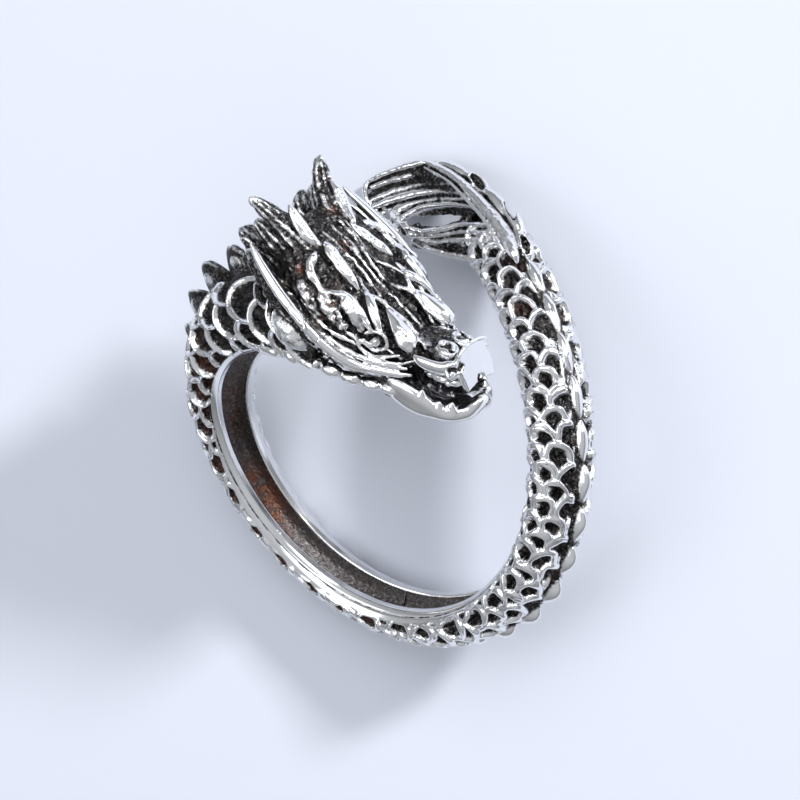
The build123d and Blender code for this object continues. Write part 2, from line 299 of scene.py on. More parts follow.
def scale_relief(angle, across, half_arc, radius, skin):
    """Lapping cupped scales on both flanks: lift, shine with painted shade under each lapping edge,
    stain, and the place beside the spine.
    """
    ridge, wall, depth, side_width, reach, _, spine = skin
    phase = np.interp(body_end - angle, body_end - counted[::-1], (count_up[-1] - count_up)[::-1])
    pitch = np.interp(angle, *np.array(PITCH).T) * radians(1) * radius
    to_rim = half_arc - np.abs(across)
    run = np.radians(angle) * radius
    calm = 1 - step_between(270, 310, angle)
    waver = 0.06 * np.sin(2.9 * run + 2.2 * across) + 0.04 * np.sin(5.3 * run - 3.1 * across + 1)
    phase = phase + waver * calm / pitch
    waver = 0.06 * np.sin(3.7 * run - 1.9 * across + 2) + 0.03 * np.sin(6.1 * across + 2.3 * run)
    away = across * drawn_half / half_arc - spine + waver * calm
    stretch = half_arc / drawn_half
    rank = (np.abs(away) - first_row) / row_width
    near = (phase, rank, np.sign(away), pitch, stretch, reach, 1 + 0.9 * calm)
    # The scale nearest the head that covers a point lies on top of the others there
    best = np.full(angle.shape, 1e9)
    inner = np.full(angle.shape, -1.0)
    owner, number, ahead = (np.zeros(angle.shape) for _ in range(3))
    for real, row, i, order, place, size, q in scales_near(*near):
        wins = real & (q < 1) & (order < best)
        best = np.where(wins, order, best)
        inner = np.where(wins, (1 - q) * size, inner)
        owner = np.where(wins, row, owner)
        number = np.where(wins, i, number)
        ahead = np.where(wins, place, ahead)
    # Room left in front, where the next scale's edge comes down
    outer = np.full(angle.shape, 9.0)
    for real, _, _, order, _, size, q in scales_near(*near):
        outer = np.where(real & (order < best), np.minimum(outer, (q - 1) * size), outer)
    kept = step_between(side_width - 0.15, side_width + 0.15, to_rim) * (inner > 0)
    luck = chance(number, owner, 3)
    wall = wall * (1 + 0.25 * np.sin(3.3 * run + 4.1 * across) * np.sin(2.7 * across - 1.9 * run))
    lip = np.minimum(1.3 * bell(inner - 0.5 * wall, 0.5 * wall), 1)
    lip = lip * (0.75 + 0.5 * step_between(-0.4, 0.6, ahead))
    bowl = step_between(wall * 0.75, wall + 0.17, inner) * step_between(0.0, 0.10, outer)
    bowl = bowl * kept
    grit = np.random.default_rng(11).normal(0, 1, angle.shape)
    grit = grit + np.roll(grit, 1, 0) + np.roll(grit, 1, 1)
    dent = 0.10 * np.sin(7 * ahead + 9 * luck) * np.sin(8 * rank + 5 * luck)
    uneven = bowl * (dent + 0.014 * grit)
    lift = 0.02 + (ridge * lip + 0.07 * ahead - depth * (0.8 + 0.4 * luck) * bowl) * kept + uneven
    black = 1.15 - 0.30 * step_between(45, 80, angle) * (1 - step_between(200, 220, angle))
    shine = 0.95 + 0.2 * lip - (black - 0.09 * grit) * bowl
    crack = bell(inner - 0.55 * wall, 0.05) * (np.sin(2.3 * run + 1.7 * across) > 0.15) * kept
    lift = lift - 0.03 * crack
    shine = shine - 0.75 * crack * (wall > 0.16)
    # Painted shade just in front of the next scale's edge: the surface sinks a little there, and
    # its shine is cut to stand in for the shade that the edge casts
    shade_under_edge = bell(outer - 0.03, 0.06) * kept * (inner > wall)
    shine = shine - 0.5 * shade_under_edge
    lift = lift - 0.04 * shade_under_edge
    stain = 0.8 * step_between(195, 215, angle) * (1 - step_between(325, 345, angle)) * bowl
    stain = stain + 0.25 * (chance(number, owner, 8) > 0.85)
    return lift, shine, stain, away


def band_relief(angle, across, half_arc, radius):
    """Lift, shine and stain of the band's outside: scales, dorsal plates and plain edges."""
    skin = smooth(SKIN, angle[:, 0]).T[:, :, None]
    plates, spine = skin[-2:]
    lift, shine, stain, away = scale_relief(angle, across, half_arc, radius, skin)
    # Dorsal plates: thin leaves in a dark ditch, leaning back towards the tail
    stretch = half_arc / drawn_half
    beside = across - spine * stretch
    place = (body_end - angle) / plate_turn + 0.5
    which = np.floor(place)
    share = place - which
    width = 0.14 + 0.24 * np.sin(pi * share) ** 0.8
    width = width * (1 + 0.25 * step_between(300, 340, angle))
    off = np.abs(beside + 0.06 * (chance(which, 0, 6) - 0.5)) / width
    leaf = np.clip(1 - off ** 2.2, 0, 1) ** 0.7
    profile = np.sin(pi * share ** 1.5) ** 0.8
    rise = plate_rise * plates * (0.9 + 0.2 * (chance(which, 0, 7) - 0.5))
    ditch = step_between(0.75, 0.35, np.abs(beside) / stretch) * (0.4 + 0.6 * plates)
    fin = leaf * (0.10 + 0.90 * profile)
    body = np.clip(fin * 1.5, 0, 1)
    flute = 0.5 + 0.5 * np.cos(3.2 * pi * beside / width + 2 * share)
    neck = step_between(300, 325, angle)
    lift = lift * (1 - ditch) + ditch * (rise * fin - 0.16 * (1 - leaf))
    shine = shine * (1 - ditch) + ditch * (0.10 + (1.0 - 0.35 * neck - 0.50 * neck * flute) * body)
    lift = lift - 0.10 * neck * flute * ditch * body
    sink = 0.5 * step_between(298, 318, angle) * (1 - step_between(362, 385, angle))
    lift = lift - sink * bell(away, 2.0) * (1 - 0.9 * np.clip(fin, 0, 1) * ditch)
    # A plain polished edge with a fine line beside the rim
    to_rim = half_arc - np.abs(across)
    line = bell(to_rim - line_from_rim, 0.055)
    lift = lift - 0.06 * line
    shine = shine - 0.75 * line
    plain = 1 - step_between(0.0, 0.14, to_rim)
    return lift * (1 - plain), np.where(plain > 0.5, 1.0, shine), stain


def band_piece(name, first, last, material):
    """The band from one angle to another, as rings of points with a cap at each end."""
    outer, inner = 144, 56
    ring_step, middle_radius = 0.076, 11.4
    steps = round((last - first) * radians(middle_radius) / ring_step)
    angles = np.linspace(first, last, steps + 1)
    place, half_width, height, channel = smooth(BAND, angles).T[:, :, None]
    half_width = half_width * band_width
    height = height * band_height
    channel = np.maximum(channel * channel_depth, 0)
    # The outer side: an oval from rim to rim, its relief lifted along its normal
    dip = sqrt(1 - rim_share ** 2)
    belly = height * dip / (1 + dip)
    bulge = height - belly
    lowest = -acos(rim_share)
    around = lowest + (pi - 2 * lowest) * np.linspace(0, 1, outer + 1)[None, :]
    side = half_width * np.cos(around)
    up = belly + bulge * np.sin(around)
    step = np.hypot(np.diff(side, axis=1), np.diff(up, axis=1))
    length = np.concatenate([np.zeros((len(angles), 1)), np.cumsum(step, axis=1)], axis=1)
    half_arc = length[:, [-1]] / 2
    spread = np.repeat(angles[:, None], outer + 1, axis=1)
    lift, shine, stain = band_relief(spread, half_arc - length, half_arc, finger_radius + height)
    normal_side = np.cos(around) / half_width
    normal_up = np.sin(around) / bulge
    size = np.hypot(normal_side, normal_up)
    side = side + lift * normal_side / size
    up = up + lift * normal_up / size
    # The inner side: a flat rim, the channel and the other rim
    t = np.linspace(0, 1, inner + 2)[None, 1:-1]
    rim = half_width * rim_share
    run = -rim + 2 * rim * t
    depth = 1 - np.clip(np.abs(run) / (rim - rim_width), 0, 1) ** 3.5
    rough = np.random.default_rng(5).normal(0, 0.016, (len(angles), inner))
    rough = rough + np.roll(rough, 1, 0) + np.roll(rough, 1, 1)
    rough = rough * depth * np.clip(channel / channel_depth, 0, 1)
    side = np.concatenate([side, run], axis=1)
    up = np.concatenate([up, channel * depth + rough], axis=1)
    hollow = step_between(0.0, 0.25, channel)
    floor_shine = 1 - 0.85 * step_between(0.02, 0.22, depth) * hollow + 3.0 * rough
    degree = angles[:, None]
    haze = step_between(0.05, 0.3, depth) * hollow
    haze = haze * (1 - 0.7 * bell(degree - 292, 9) * bell(run / rim + 0.3, 0.35))
    brown = 2.0 * bell(degree - 265, 9) * bell(run / rim - 0.1, 0.6)
    brown = brown + 0.35 * bell(degree - 300, 12) * bell(run / rim + 0.2, 0.5)
    # Rings stand across the coil, which leans as it rises
    slope = (smooth(BAND, angles + 1)[:, 0] - smooth(BAND, angles - 1)[:, 0]) * coil_spread / 2
    lean = slope / radians(finger_radius)
    bearing = np.radians(angles)
    zero = np.zeros_like(bearing)
    outward = np.stack([np.sin(bearing), np.cos(bearing), zero], axis=1)
    tangent = np.stack([np.cos(bearing), -np.sin(bearing), zero], axis=1)
    sideways = np.array((0, 0, 1.0)) - tangent * lean[:, None]
    sideways /= np.linalg.norm(sideways, axis=1)[:, None]
    points = np.zeros(side.shape + (3,))
    points[..., 2] = place * coil_spread
    points += sideways[:, None, :] * side[..., None]
    points += outward[:, None, :] * (finger_radius + up)[..., None]
    rings, count = side.shape
    index = np.arange(rings * count).reshape(rings, count)
    following = np.roll(index, -1, axis=1)
    quads = np.stack([index[:-1], following[:-1], following[1:], index[1:]], axis=-1)
    faces = quads.reshape(-1, 4).tolist()
    middle, last_ring = rings * count, (rings - 1) * count
    for k in range(count):
        n = (k + 1) % count
        faces.append((middle, n, k))
        faces.append((middle + 1, last_ring + k, last_ring + n))
    centres = [points[0].mean(axis=0), points[-1].mean(axis=0)]
    points = np.concatenate([points.reshape(-1, 3), centres])
    tones = ((shine, floor_shine, 0.2), (stain, 0.05 + brown, 0), (0 * lift, haze, 0))
    tones = [np.append(np.concatenate([outside, inside], axis=1), (end, end))
             for outside, inside, end in tones]
    mesh_piece(name, on_table(points), faces, *tones, material, 2 * count)


# Modelling in clay: distances to a growing solid on a grid of points

def catmull(path, parts=5):
    """Points and sizes on a smooth curve through the rows of a path."""
    rows = np.array(path, float)
    padded = np.concatenate([[2 * rows[0] - rows[1]], rows, [2 * rows[-1] - rows[-2]]])
    found = []
    for k in range(1, len(rows)):
        a, b, c, d = padded[k - 1:k + 3]
        for t in np.arange(parts) / parts:
            found.append(0.5 * (2 * b + (c - a) * t + (2 * a - 5 * b + 4 * c - d) * t ** 2
                                + (3 * b - a - 3 * c + d) * t ** 3))
    found.append(rows[-1])
    return np.array(found)


class Clay:
    """Distance to a solid's surface on a grid, with the shine and stain that its surface gets."""

    def __init__(self, low, high, step):
        """An empty grid between two corners."""
        self.low = np.array(low, float)
        self.step = step
        self.shape = np.ceil((np.array(high) - self.low) / step).astype(int) + 1
        self.solid = np.full(self.shape, 1.0, np.float32)
        self.shine = np.zeros(self.shape, np.float32)
        self.stain = np.zeros(self.shape, np.float32)

    def block(self, low, high):
        """The part of the grid between two corners."""
        first = np.floor((np.array(low) - self.low) / self.step).astype(int)
        last = np.ceil((np.array(high) - self.low) / self.step).astype(int) + 1
        ends = np.clip((first, last), 0, self.shape)
        return tuple(slice(a, b) for a, b in ends.T)

    def places(self, block):
        """The block's coordinates along the three axes."""
        axes = [self.low[k] + self.step * np.arange(s.start, s.stop) for k, s in enumerate(block)]
        return np.meshgrid(*axes, indexing="ij", sparse=True)

    def join(self, block, other, blend, shine):
        """Another solid added with a soft seam."""
        here = self.solid[block]
        mix = np.clip(0.5 + 0.5 * (here - other) / blend, 0, 1)
        self.solid[block] = here + (other - here) * mix - blend * mix * (1 - mix)
        part = np.clip(0.5 + (here - other) / 0.10, 0, 1)
        self.shine[block] += (shine - self.shine[block]) * part

    def cut(self, block, other, blend, shine):
        """Another solid taken away with a soft edge."""
        here = self.solid[block]
        mix = np.clip(0.5 + 0.5 * (here + other) / blend, 0, 1)
        self.solid[block] = -other + (here + other) * mix + blend * mix * (1 - mix)
        part = np.clip(0.5 - (here + other) / 0.10, 0, 1)
        self.shine[block] += (shine - self.shine[block]) * part

    def strand(self, path, lean=UP, shine=1.0, blend=0.08, carve=False, flutes=0, flute_depth=0.0,
               lift=None):
        """A flattened strand along rows of point, half width and half thickness, lean giving the
        side it faces. With lift, its path is first laid on the surface and lifted from it."""
        rows = catmull(path if lift is None else self.snapped(path, lift))
        margin = 0.35 + rows[:, 3:].max()
        block = self.block(rows[:, :3].min(axis=0) - margin, rows[:, :3].max(axis=0) + margin)
        x, y, z = self.places(block)
        if 0 in (x.size, y.size, z.size):
            return
        found = np.full((x.size, y.size, z.size), 1.0, np.float32)
        for a, b in zip(rows, rows[1:]):
            run = b[:3] - a[:3]
            long = np.linalg.norm(run)
            if long < 1e-6:
                continue
            ahead = run / long
            side = np.cross(ahead, lean)
            side /= np.linalg.norm(side)
            up = np.cross(side, ahead)
            low = np.minimum(a[:3], b[:3]) - margin
            high = np.maximum(a[:3], b[:3]) + margin
            picks = [slice(*np.searchsorted(axis.ravel(), (low[k], high[k])))
                     for k, axis in enumerate((x, y, z))]
            if any(p.stop <= p.start for p in picks):
                continue
            dx = x[picks[0]] - a[0]
            dy = y[:, picks[1]] - a[1]
            dz = z[:, :, picks[2]] - a[2]
            along = dx * ahead[0] + dy * ahead[1] + dz * ahead[2]
            h = np.clip(along / long, 0, 1)
            width = a[3] + (b[3] - a[3]) * h
            thick = a[4] + (b[4] - a[4]) * h
            s = dx * side[0] + dy * side[1] + dz * side[2]
            u = dx * up[0] + dy * up[1] + dz * up[2]
            small = np.minimum(width, thick)
            q = np.sqrt((s / width) ** 2 + (u / thick) ** 2 + ((along - h * long) / small) ** 2)
            if flutes:
                turn = np.arctan2(u / thick, s / width)
                q = q * (1 + flute_depth * (0.5 - 0.5 * np.cos(flutes * turn)))
            part = found[picks[0], picks[1], picks[2]]
            np.minimum(part, (q - 1) * small, out=part)
        change = self.cut if carve else self.join
        change(block, found, blend, shine)

    def polish(self, path, reach):
        """Everything near a path made bright."""
        for a in catmull([(*row, 0) for row in path], 8)[:, :3]:
            block = self.block(a - reach, a + reach)
            x, y, z = self.places(block)
            near = (x - a[0]) ** 2 + (y - a[1]) ** 2 + (z - a[2]) ** 2 < reach ** 2
            here = self.shine[block]
            self.shine[block] = np.where(near, np.maximum(here, 1.0), here)

    def snapped(self, path, lift):
        """The rows of a path moved onto the surface, then lifted from it."""
        rows = np.array(path, float)
        for _ in range(6):
            value = self.at(self.solid, rows[:, :3])
            slope = np.stack([(self.at(self.solid, rows[:, :3] + shift)
                               - self.at(self.solid, rows[:, :3] - shift)) / 0.3
                              for shift in np.eye(3) * 0.15], axis=1)
            size = np.maximum(np.linalg.norm(slope, axis=1), 0.3)
            rows[:, :3] += slope / size[:, None] ** 2 * np.clip(lift - value, -0.3, 0.3)[:, None]
        return rows

    def at(self, grid, points):
        """The grid's values at points between its own."""
        where = np.clip((points - self.low) / self.step, 0, self.shape - 1.001)
        base = np.floor(where).astype(int)
        part = where - base
        total = np.zeros(len(points))
        for corner in np.ndindex(2, 2, 2):
            weight = np.prod(np.where(corner, part, 1 - part), axis=1)
            total += weight * grid[tuple((base + corner).T)]
        return total

    def mesh(self):
        """The surface as points and quads, smoothed a little without shrinking."""
        grid = openvdb.FloatGrid(1.0)
        grid.copyFromArray(self.solid.astype(np.float64))
        grid.transform = openvdb.createLinearTransform(voxelSize=1.0)
        points, quads = largest_part(*grid.convertToQuads(isovalue=0.0))
        ends = np.concatenate([quads, np.roll(quads, -1, axis=1)]).ravel(order="F")
        starts = np.concatenate([np.roll(quads, -1, axis=1), quads]).ravel(order="F")
        count = np.bincount(starts, minlength=len(points))[:, None]
        points = points.astype(float)
        for weight in (0.55, -0.57, 0.55, -0.57):
            near = [np.bincount(starts, points[ends, k], len(points)) for k in range(3)]
            points = points + weight * (np.stack(near, axis=1) / count - points)
        return points * self.step + self.low, quads


def largest_part(points, quads):
    """The biggest connected part of a mesh, without loose crumbs and closed bubbles."""
    label = np.arange(len(points))
    while True:
        lower = label.copy()
        np.minimum.at(lower, quads.ravel(), np.repeat(label[quads].min(axis=1), 4))
        lower = lower[lower]
        if (lower == label).all():
            break
        label = lower
    kept = label == np.bincount(label).argmax()
    number = np.cumsum(kept) - 1
    return points[kept], number[quads[kept[quads[:, 0]]]]


def blurred(grid, reach):
    """A box blur of a grid, reach cells each way."""
    for axis in range(3):
        padded = np.concatenate([np.repeat(grid.take([0], axis), reach + 1, axis), grid,
                                 np.repeat(grid.take([-1], axis), reach, axis)], axis)
        total = np.cumsum(padded, axis=axis, dtype=np.float64)
        n = total.shape[axis]
        upper = total.take(range(2 * reach + 1, n), axis)
        lower = total.take(range(0, n - 2 * reach - 1), axis)
        grid = ((upper - lower) / (2 * reach + 1)).astype(np.float32)
    return grid


def grained(clay, runs, seed, amount):
    """Cast grain: small bumps and pits where the clay is dull, drawn out along the three axes."""
    rng = np.random.default_rng(seed)
    fine = rng.normal(0, 1, tuple(clay.shape // np.array(runs) + 2)).astype(np.float32)
    for axis, run in enumerate(runs):
        fine = np.repeat(fine, run, axis)
    fine = fine[tuple(slice(0, n) for n in clay.shape)]
    fine = blurred(fine, 1) * 2.0
    near = np.abs(clay.solid) < 0.4
    clay.solid[near] += (amount * fine * np.clip(1 - 1.2 * clay.shine, 0, 1))[near]


def clay_piece(name, clay, to_ring, material):
    """The clay's surface as a piece: hollows are dull, crests and polished strands shine."""
    points, quads = clay.mesh()
    dense = np.clip(0.5 - clay.solid / 0.24, 0, 1)
    close = clay.at(blurred(dense, 2), points)
    wide = clay.at(blurred(dense, 5), points)
    shine = clay.at(clay.shine, points)
    crest = np.clip((0.50 - close) * 5.0, -1, 1) + np.clip((0.48 - wide) * 2.5, -1, 1)
    shine = np.maximum(shine + 0.45 * crest * (0.35 + 0.65 * shine), np.where(shine > 0.9, 0.85, 0))
    stain = clay.at(clay.stain, points)
    ring = to_ring(points)
    centre = ring.mean(axis=0)
    a, b, c = (ring[quads[:, k]] - centre for k in (0, 1, 2))
    if np.einsum("ij,ij->i", a, np.cross(b, c)).sum() < 0:
        quads = quads[:, ::-1]
    mesh_piece(name, on_table(ring), quads.tolist(), shine, stain, 0, material)


# The head

turn = radians(head_turn)
roll = radians(head_roll)
finger_axis = np.array((0, 0, 1.0))
head_out = np.array((sin(radians(head_angle)), cos(radians(head_angle)), 0))
head_tangent = np.array((cos(radians(head_angle)), -sin(radians(head_angle)), 0))
head_along = head_tangent * cos(turn) - finger_axis * sin(turn)
head_level = finger_axis * -cos(turn) - head_tangent * sin(turn)
head_side = head_level * cos(roll) - head_out * sin(roll)
head_up = head_out * cos(roll) + head_level * sin(roll)
head_origin = head_out * finger_radius + finger_axis * head_offset


def head_to_ring(points):
    """Points along, out to the side of and up from the head, in the finger's frame."""
    return (head_origin + points[:, [0]] * head_along + points[:, [1]] * head_side
            + points[:, [2]] * head_up)


def tube(clay, rows, shrink, blend, shine, ends=0.45, full=2.5, groove=0.0):
    """The skull, the nose or the jaw: full ovals across the head from a table of shares."""
    low, high = rows[0][0] * head_length, rows[-1][0] * head_length
    block = clay.block((low - 0.5, -0.5, -3), (high + 0.5, 6, 8))
    f, l, u = clay.places(block)
    inside = np.clip(f.ravel(), low, high)
    half_width, underside, top = smooth(rows, inside / head_length).T
    beyond = f.ravel() - inside
    inset = np.maximum(np.maximum(low + ends - f.ravel(), f.ravel() - high + ends), 0) / ends
    round_off = np.sqrt(np.clip(1 - np.minimum(inset, 1) ** 2, 0.02, 1))[:, None, None]
    half_width = (half_width * head_reach)[:, None, None] * (0.3 + 0.7 * round_off)
    middle = ((underside + top) / 2 * head_depth)[:, None, None]
    half_height = ((top - underside) / 2 * head_depth)[:, None, None] * (0.3 + 0.7 * round_off)
    q = (np.abs(l) / half_width) ** full + (np.abs(u - middle) / half_height) ** full
    q = q ** (1 / full)
    d = (q - 1) * np.minimum(half_width, half_height) * 0.9
    if groove:
        run = np.arctan2(u - middle, l) * half_width / groove_spacing
        run = run + 0.8 * np.sin(0.9 * f) + 0.5 * np.sin(2.3 * f + 1)
        shown = step_between(-8.5, -6.5, f) * (1 - step_between(2.0, 3.0, f))
        d = d + groove * (0.5 + 0.5 * np.cos(run * pi)) * shown
    past = np.abs(beyond)[:, None, None]
    d = np.where(past > 0, np.hypot(np.maximum(d, 0), past), d) + shrink
    clay.join(block, d.astype(np.float32), blend, shine)


def head_clay():
    """One half of the head behind the mouth."""
    clay = Clay((-10.6, -0.35, -2.4), (6.5, 5.3, 7.1), head_cell)
    tube(clay, SKULL, 0.16, 0.3, 0.30, groove=0.09)
    tube(clay, JAW, 0.12, 0.25, 0.0)
    horn = [
        (-5.4, 1.2, 4.2, 0.95, 0.8), (-7.0, 1.45, 4.8, 0.92, 0.74), (-8.3, 1.85, 5.25, 0.66, 0.55),
        (-9.1, 2.3, 5.8, 0.52, 0.42), (-9.55, 2.62, 6.15, 0.35, 0.3), (-9.68, 2.72, 6.3, 0.22, 0.2)]
    clay.strand(horn, shine=0.62, blend=0.12, flutes=8, flute_depth=0.22)
    web = [
        (-5.4, 1.5, 3.4, 1.0, 1.0), (-7.0, 1.7, 3.8, 1.0, 0.9), (-8.3, 1.95, 4.15, 0.75, 0.75),
        (-9.2, 2.2, 4.5, 0.4, 0.42)]
    clay.strand(web, shine=0.42, blend=0.2, flutes=9, flute_depth=0.16)
    ear = [
        (-5.0, 1.5, 2.4, 1.1, 0.85), (-7.4, 1.75, 2.6, 1.1, 0.75), (-9.0, 2.0, 2.95, 0.95, 0.6),
        (-9.75, 2.25, 3.2, 0.75, 0.45), (-10.1, 2.35, 3.35, 0.4, 0.28)]
    clay.strand(ear, shine=0.42, blend=0.15, flutes=10, flute_depth=0.16)
    mane = [
        (-8.8, 3.1, 3.1, 0.3, 0.3), (-7.4, 3.5, 2.95, 0.62, 0.5), (-4.5, 3.75, 2.25, 0.9, 0.65),
        (-1.2, 3.25, 1.45, 0.8, 0.55), (1.4, 2.25, 1.2, 0.5, 0.4)]
    clay.strand(mane, shine=0.34, blend=0.2, flutes=11, flute_depth=0.16)
    # The long polished strand along each side, with finer ones above it
    whisker = [
        (-8.45, 3.72, 4.38, 0.08, 0.08), (-8.0, 3.8, 4.18, 0.19, 0.18),
        (-7.27, 3.95, 3.9, 0.26, 0.24), (-6.02, 4.15, 3.45, 0.31, 0.28),
        (-4.65, 4.28, 3.0, 0.33, 0.28), (-3.45, 4.25, 2.5, 0.31, 0.28),
        (-2.35, 4.08, 2.02, 0.27, 0.27), (-1.21, 3.8, 1.66, 0.24, 0.25),
        (-0.27, 3.4, 1.5, 0.23, 0.24), (0.8, 2.98, 1.66, 0.22, 0.23), (1.77, 2.5, 1.86, 0.2, 0.2),
        (2.5, 2.1, 2.05, 0.12, 0.14)]
    clay.strand(whisker, shine=1.0, blend=0.05)
    second = [
        (-8.0, 3.45, 3.85, 0.08, 0.1), (-6.67, 3.72, 3.5, 0.12, 0.13),
        (-5.42, 3.85, 3.05, 0.13, 0.14), (-4.22, 3.9, 2.65, 0.14, 0.15),
        (-3.13, 3.82, 2.3, 0.15, 0.16), (-2.0, 3.6, 2.05, 0.15, 0.16),
        (-0.9, 3.35, 1.95, 0.14, 0.15), (0.3, 3.0, 1.98, 0.14, 0.15), (1.4, 2.55, 2.15, 0.12, 0.14),
        (2.2, 2.15, 2.35, 0.08, 0.1)]
    clay.strand(second, shine=0.95, blend=0.04)
    third = [
        (-4.6, 3.55, 3.1, 0.08, 0.1), (-3.2, 3.55, 2.7, 0.12, 0.13), (-2.0, 3.4, 2.45, 0.13, 0.14),
        (-0.9, 3.1, 2.32, 0.13, 0.14), (0.4, 2.75, 2.35, 0.13, 0.14), (1.5, 2.35, 2.5, 0.11, 0.12),
        (2.3, 2.0, 2.65, 0.07, 0.09)]
    clay.strand(third, shine=0.85, blend=0.04, lift=0.05)
    fourth = [
        (-1.9, 3.0, 2.8, 0.07, 0.09), (-0.7, 2.85, 2.6, 0.11, 0.12), (0.5, 2.5, 2.62, 0.11, 0.12),
        (1.5, 2.1, 2.8, 0.08, 0.1)]
    clay.strand(fourth, shine=0.75, blend=0.04, lift=0.05)
    for inward, drop, first, last in ((0.35, 0.5, -5.5, -2.0), (0.15, 0.95, -6.5, -2.5),
                                      (0.1, 1.4, -6.0, -3.0)):
        rows = [(f, np.interp(f, (-7, -4, -1), (3.9, 4.15, 3.7)) - inward,
                 np.interp(f, (-7, -4, -1), (3.7, 2.7, 1.5)) - drop, 0.09, 0.12)
                for f in np.linspace(first, last, 5)]
        clay.strand(rows, shine=0.5, blend=0.05, lift=0.03)
    clay.polish([row[:3] for row in whisker[1:-1]], 0.33)
    # Cheek, brows and eye
    cheek = [
        (-5.3, 2.0, 5.3, 0.12, 0.12), (-5.25, 2.3, 5.05, 0.26, 0.2), (-5.1, 2.55, 4.72, 0.28, 0.2),
        (-4.79, 2.7, 4.42, 0.26, 0.18), (-4.3, 2.8, 4.15, 0.22, 0.18),
        (-3.8, 2.85, 3.95, 0.15, 0.14)]
    clay.strand(cheek, shine=1.0, blend=0.05, lift=0.12)
    band = [
        (-3.5, 2.8, 4.1, 0.12, 0.14), (-2.79, 2.6, 4.39, 0.2, 0.2), (-2.22, 2.4, 4.34, 0.24, 0.22),
        (-1.62, 2.38, 4.1, 0.23, 0.22), (-0.97, 2.42, 3.72, 0.19, 0.2),
        (-0.37, 2.5, 3.43, 0.1, 0.12)]
    clay.strand(band, shine=1.0, blend=0.06)
    pads = (
        # lift, then three rows
        (-0.05, (-3.5, 3.1, 3.9, 0.5, 0.3), (-2.6, 3.15, 3.7, 0.72, 0.4),
         (-1.7, 3.1, 3.2, 0.5, 0.3)),
        (0.0, (-2.3, 2.7, 4.1, 0.35, 0.3), (-1.6, 2.75, 3.75, 0.45, 0.35),
         (-0.9, 2.8, 3.25, 0.3, 0.25)),
        (-0.08, (-4.9, 3.2, 3.8, 0.4, 0.3), (-4.1, 3.3, 3.5, 0.5, 0.3),
         (-3.3, 3.4, 3.0, 0.3, 0.25)),
    )
    for lift, *rows in pads:
        clay.strand(rows, shine=0.56, blend=0.10, lift=lift + 0.06)
    slim = [
        (-1.95, 1.45, 4.35, 0.08, 0.1), (-1.6, 1.55, 4.3, 0.24, 0.24),
        (-1.1, 1.78, 4.15, 0.3, 0.28), (-0.5, 2.02, 3.83, 0.26, 0.26), (0.1, 2.2, 3.45, 0.12, 0.14)]
    clay.strand(slim, shine=1.0, blend=0.05)
    hollow = [
        (-1.0, 1.45, 4.05, 0.12, 0.25), (-0.2, 1.7, 3.75, 0.25, 0.3), (0.6, 1.85, 3.4, 0.2, 0.28),
        (1.1, 1.9, 3.1, 0.1, 0.2)]
    clay.strand(hollow, shine=0.2, carve=True, blend=0.05)
    arch = [
        (-1.75, 1.4, 4.4, 0.07, 0.1), (-1.3, 1.2, 4.35, 0.12, 0.14), (-0.7, 1.05, 4.15, 0.14, 0.16),
        (0.1, 0.98, 3.92, 0.13, 0.16), (0.9, 1.0, 3.7, 0.1, 0.14)]
    clay.strand(arch, shine=0.8, blend=0.04)
    tear = [
        (-0.55, 1.2, 4.05, 0.1, 0.14), (-0.1, 1.28, 3.95, 0.26, 0.26),
        (0.45, 1.38, 3.8, 0.42, 0.36), (1.0, 1.48, 3.66, 0.56, 0.42), (1.45, 1.58, 3.5, 0.56, 0.42),
        (1.75, 1.65, 3.35, 0.34, 0.3)]
    clay.strand(tear, shine=1.0, blend=0.04)
    socket = [
        (-0.5, 2.5, 3.1, 0.35, 0.3), (0.03, 2.5, 2.98, 0.5, 0.34), (0.55, 2.35, 2.95, 0.35, 0.3)]
    clay.strand(socket, shine=0.3, carve=True, blend=0.06)
    ball = [(0.05, 2.47, 2.95, 0.25, 0.25), (0.1, 2.47, 2.95, 0.25, 0.25)]
    clay.strand(ball, shine=0.5, blend=0.02)
    ring = [
        (-0.64, 2.6, 3.04), (-0.37, 2.42, 3.36), (0.17, 2.3, 3.5), (0.59, 2.2, 3.23),
        (0.66, 2.3, 2.8), (0.2, 2.5, 2.38), (-0.31, 2.65, 2.43), (-0.6, 2.68, 2.75)]
    clay.strand([(*row, 0.10, 0.12) for row in ring], shine=0.5, blend=0.04)
    lid = [
        (-1.0, 2.9, 2.9, 0.07, 0.08), (-0.75, 2.9, 2.45, 0.11, 0.11),
        (-0.3, 2.85, 2.12, 0.13, 0.13), (0.3, 2.68, 2.08, 0.13, 0.13), (0.9, 2.4, 2.4, 0.12, 0.12),
        (1.5, 2.05, 2.75, 0.08, 0.09)]
    clay.strand(lid, shine=0.9, blend=0.04)
    # Ridges down the middle of the brow
    for l0, half in ((0.0, 0.13), (0.55, 0.12), (0.95, 0.10)):
        rows = [(f, l0 + 0.12 * sin(1.1 * f + 3 * l0),
                 np.interp(f, (-7, -4, -1, 2), (5.6, 5.0, 4.2, 3.5)), half, half)
                for f in (-6.0, -4.6, -3.3, -2.0, -0.8, 0.5, 1.8)]
        clay.strand(rows, shine=0.42, blend=0.06, lift=0.02)
    return clay


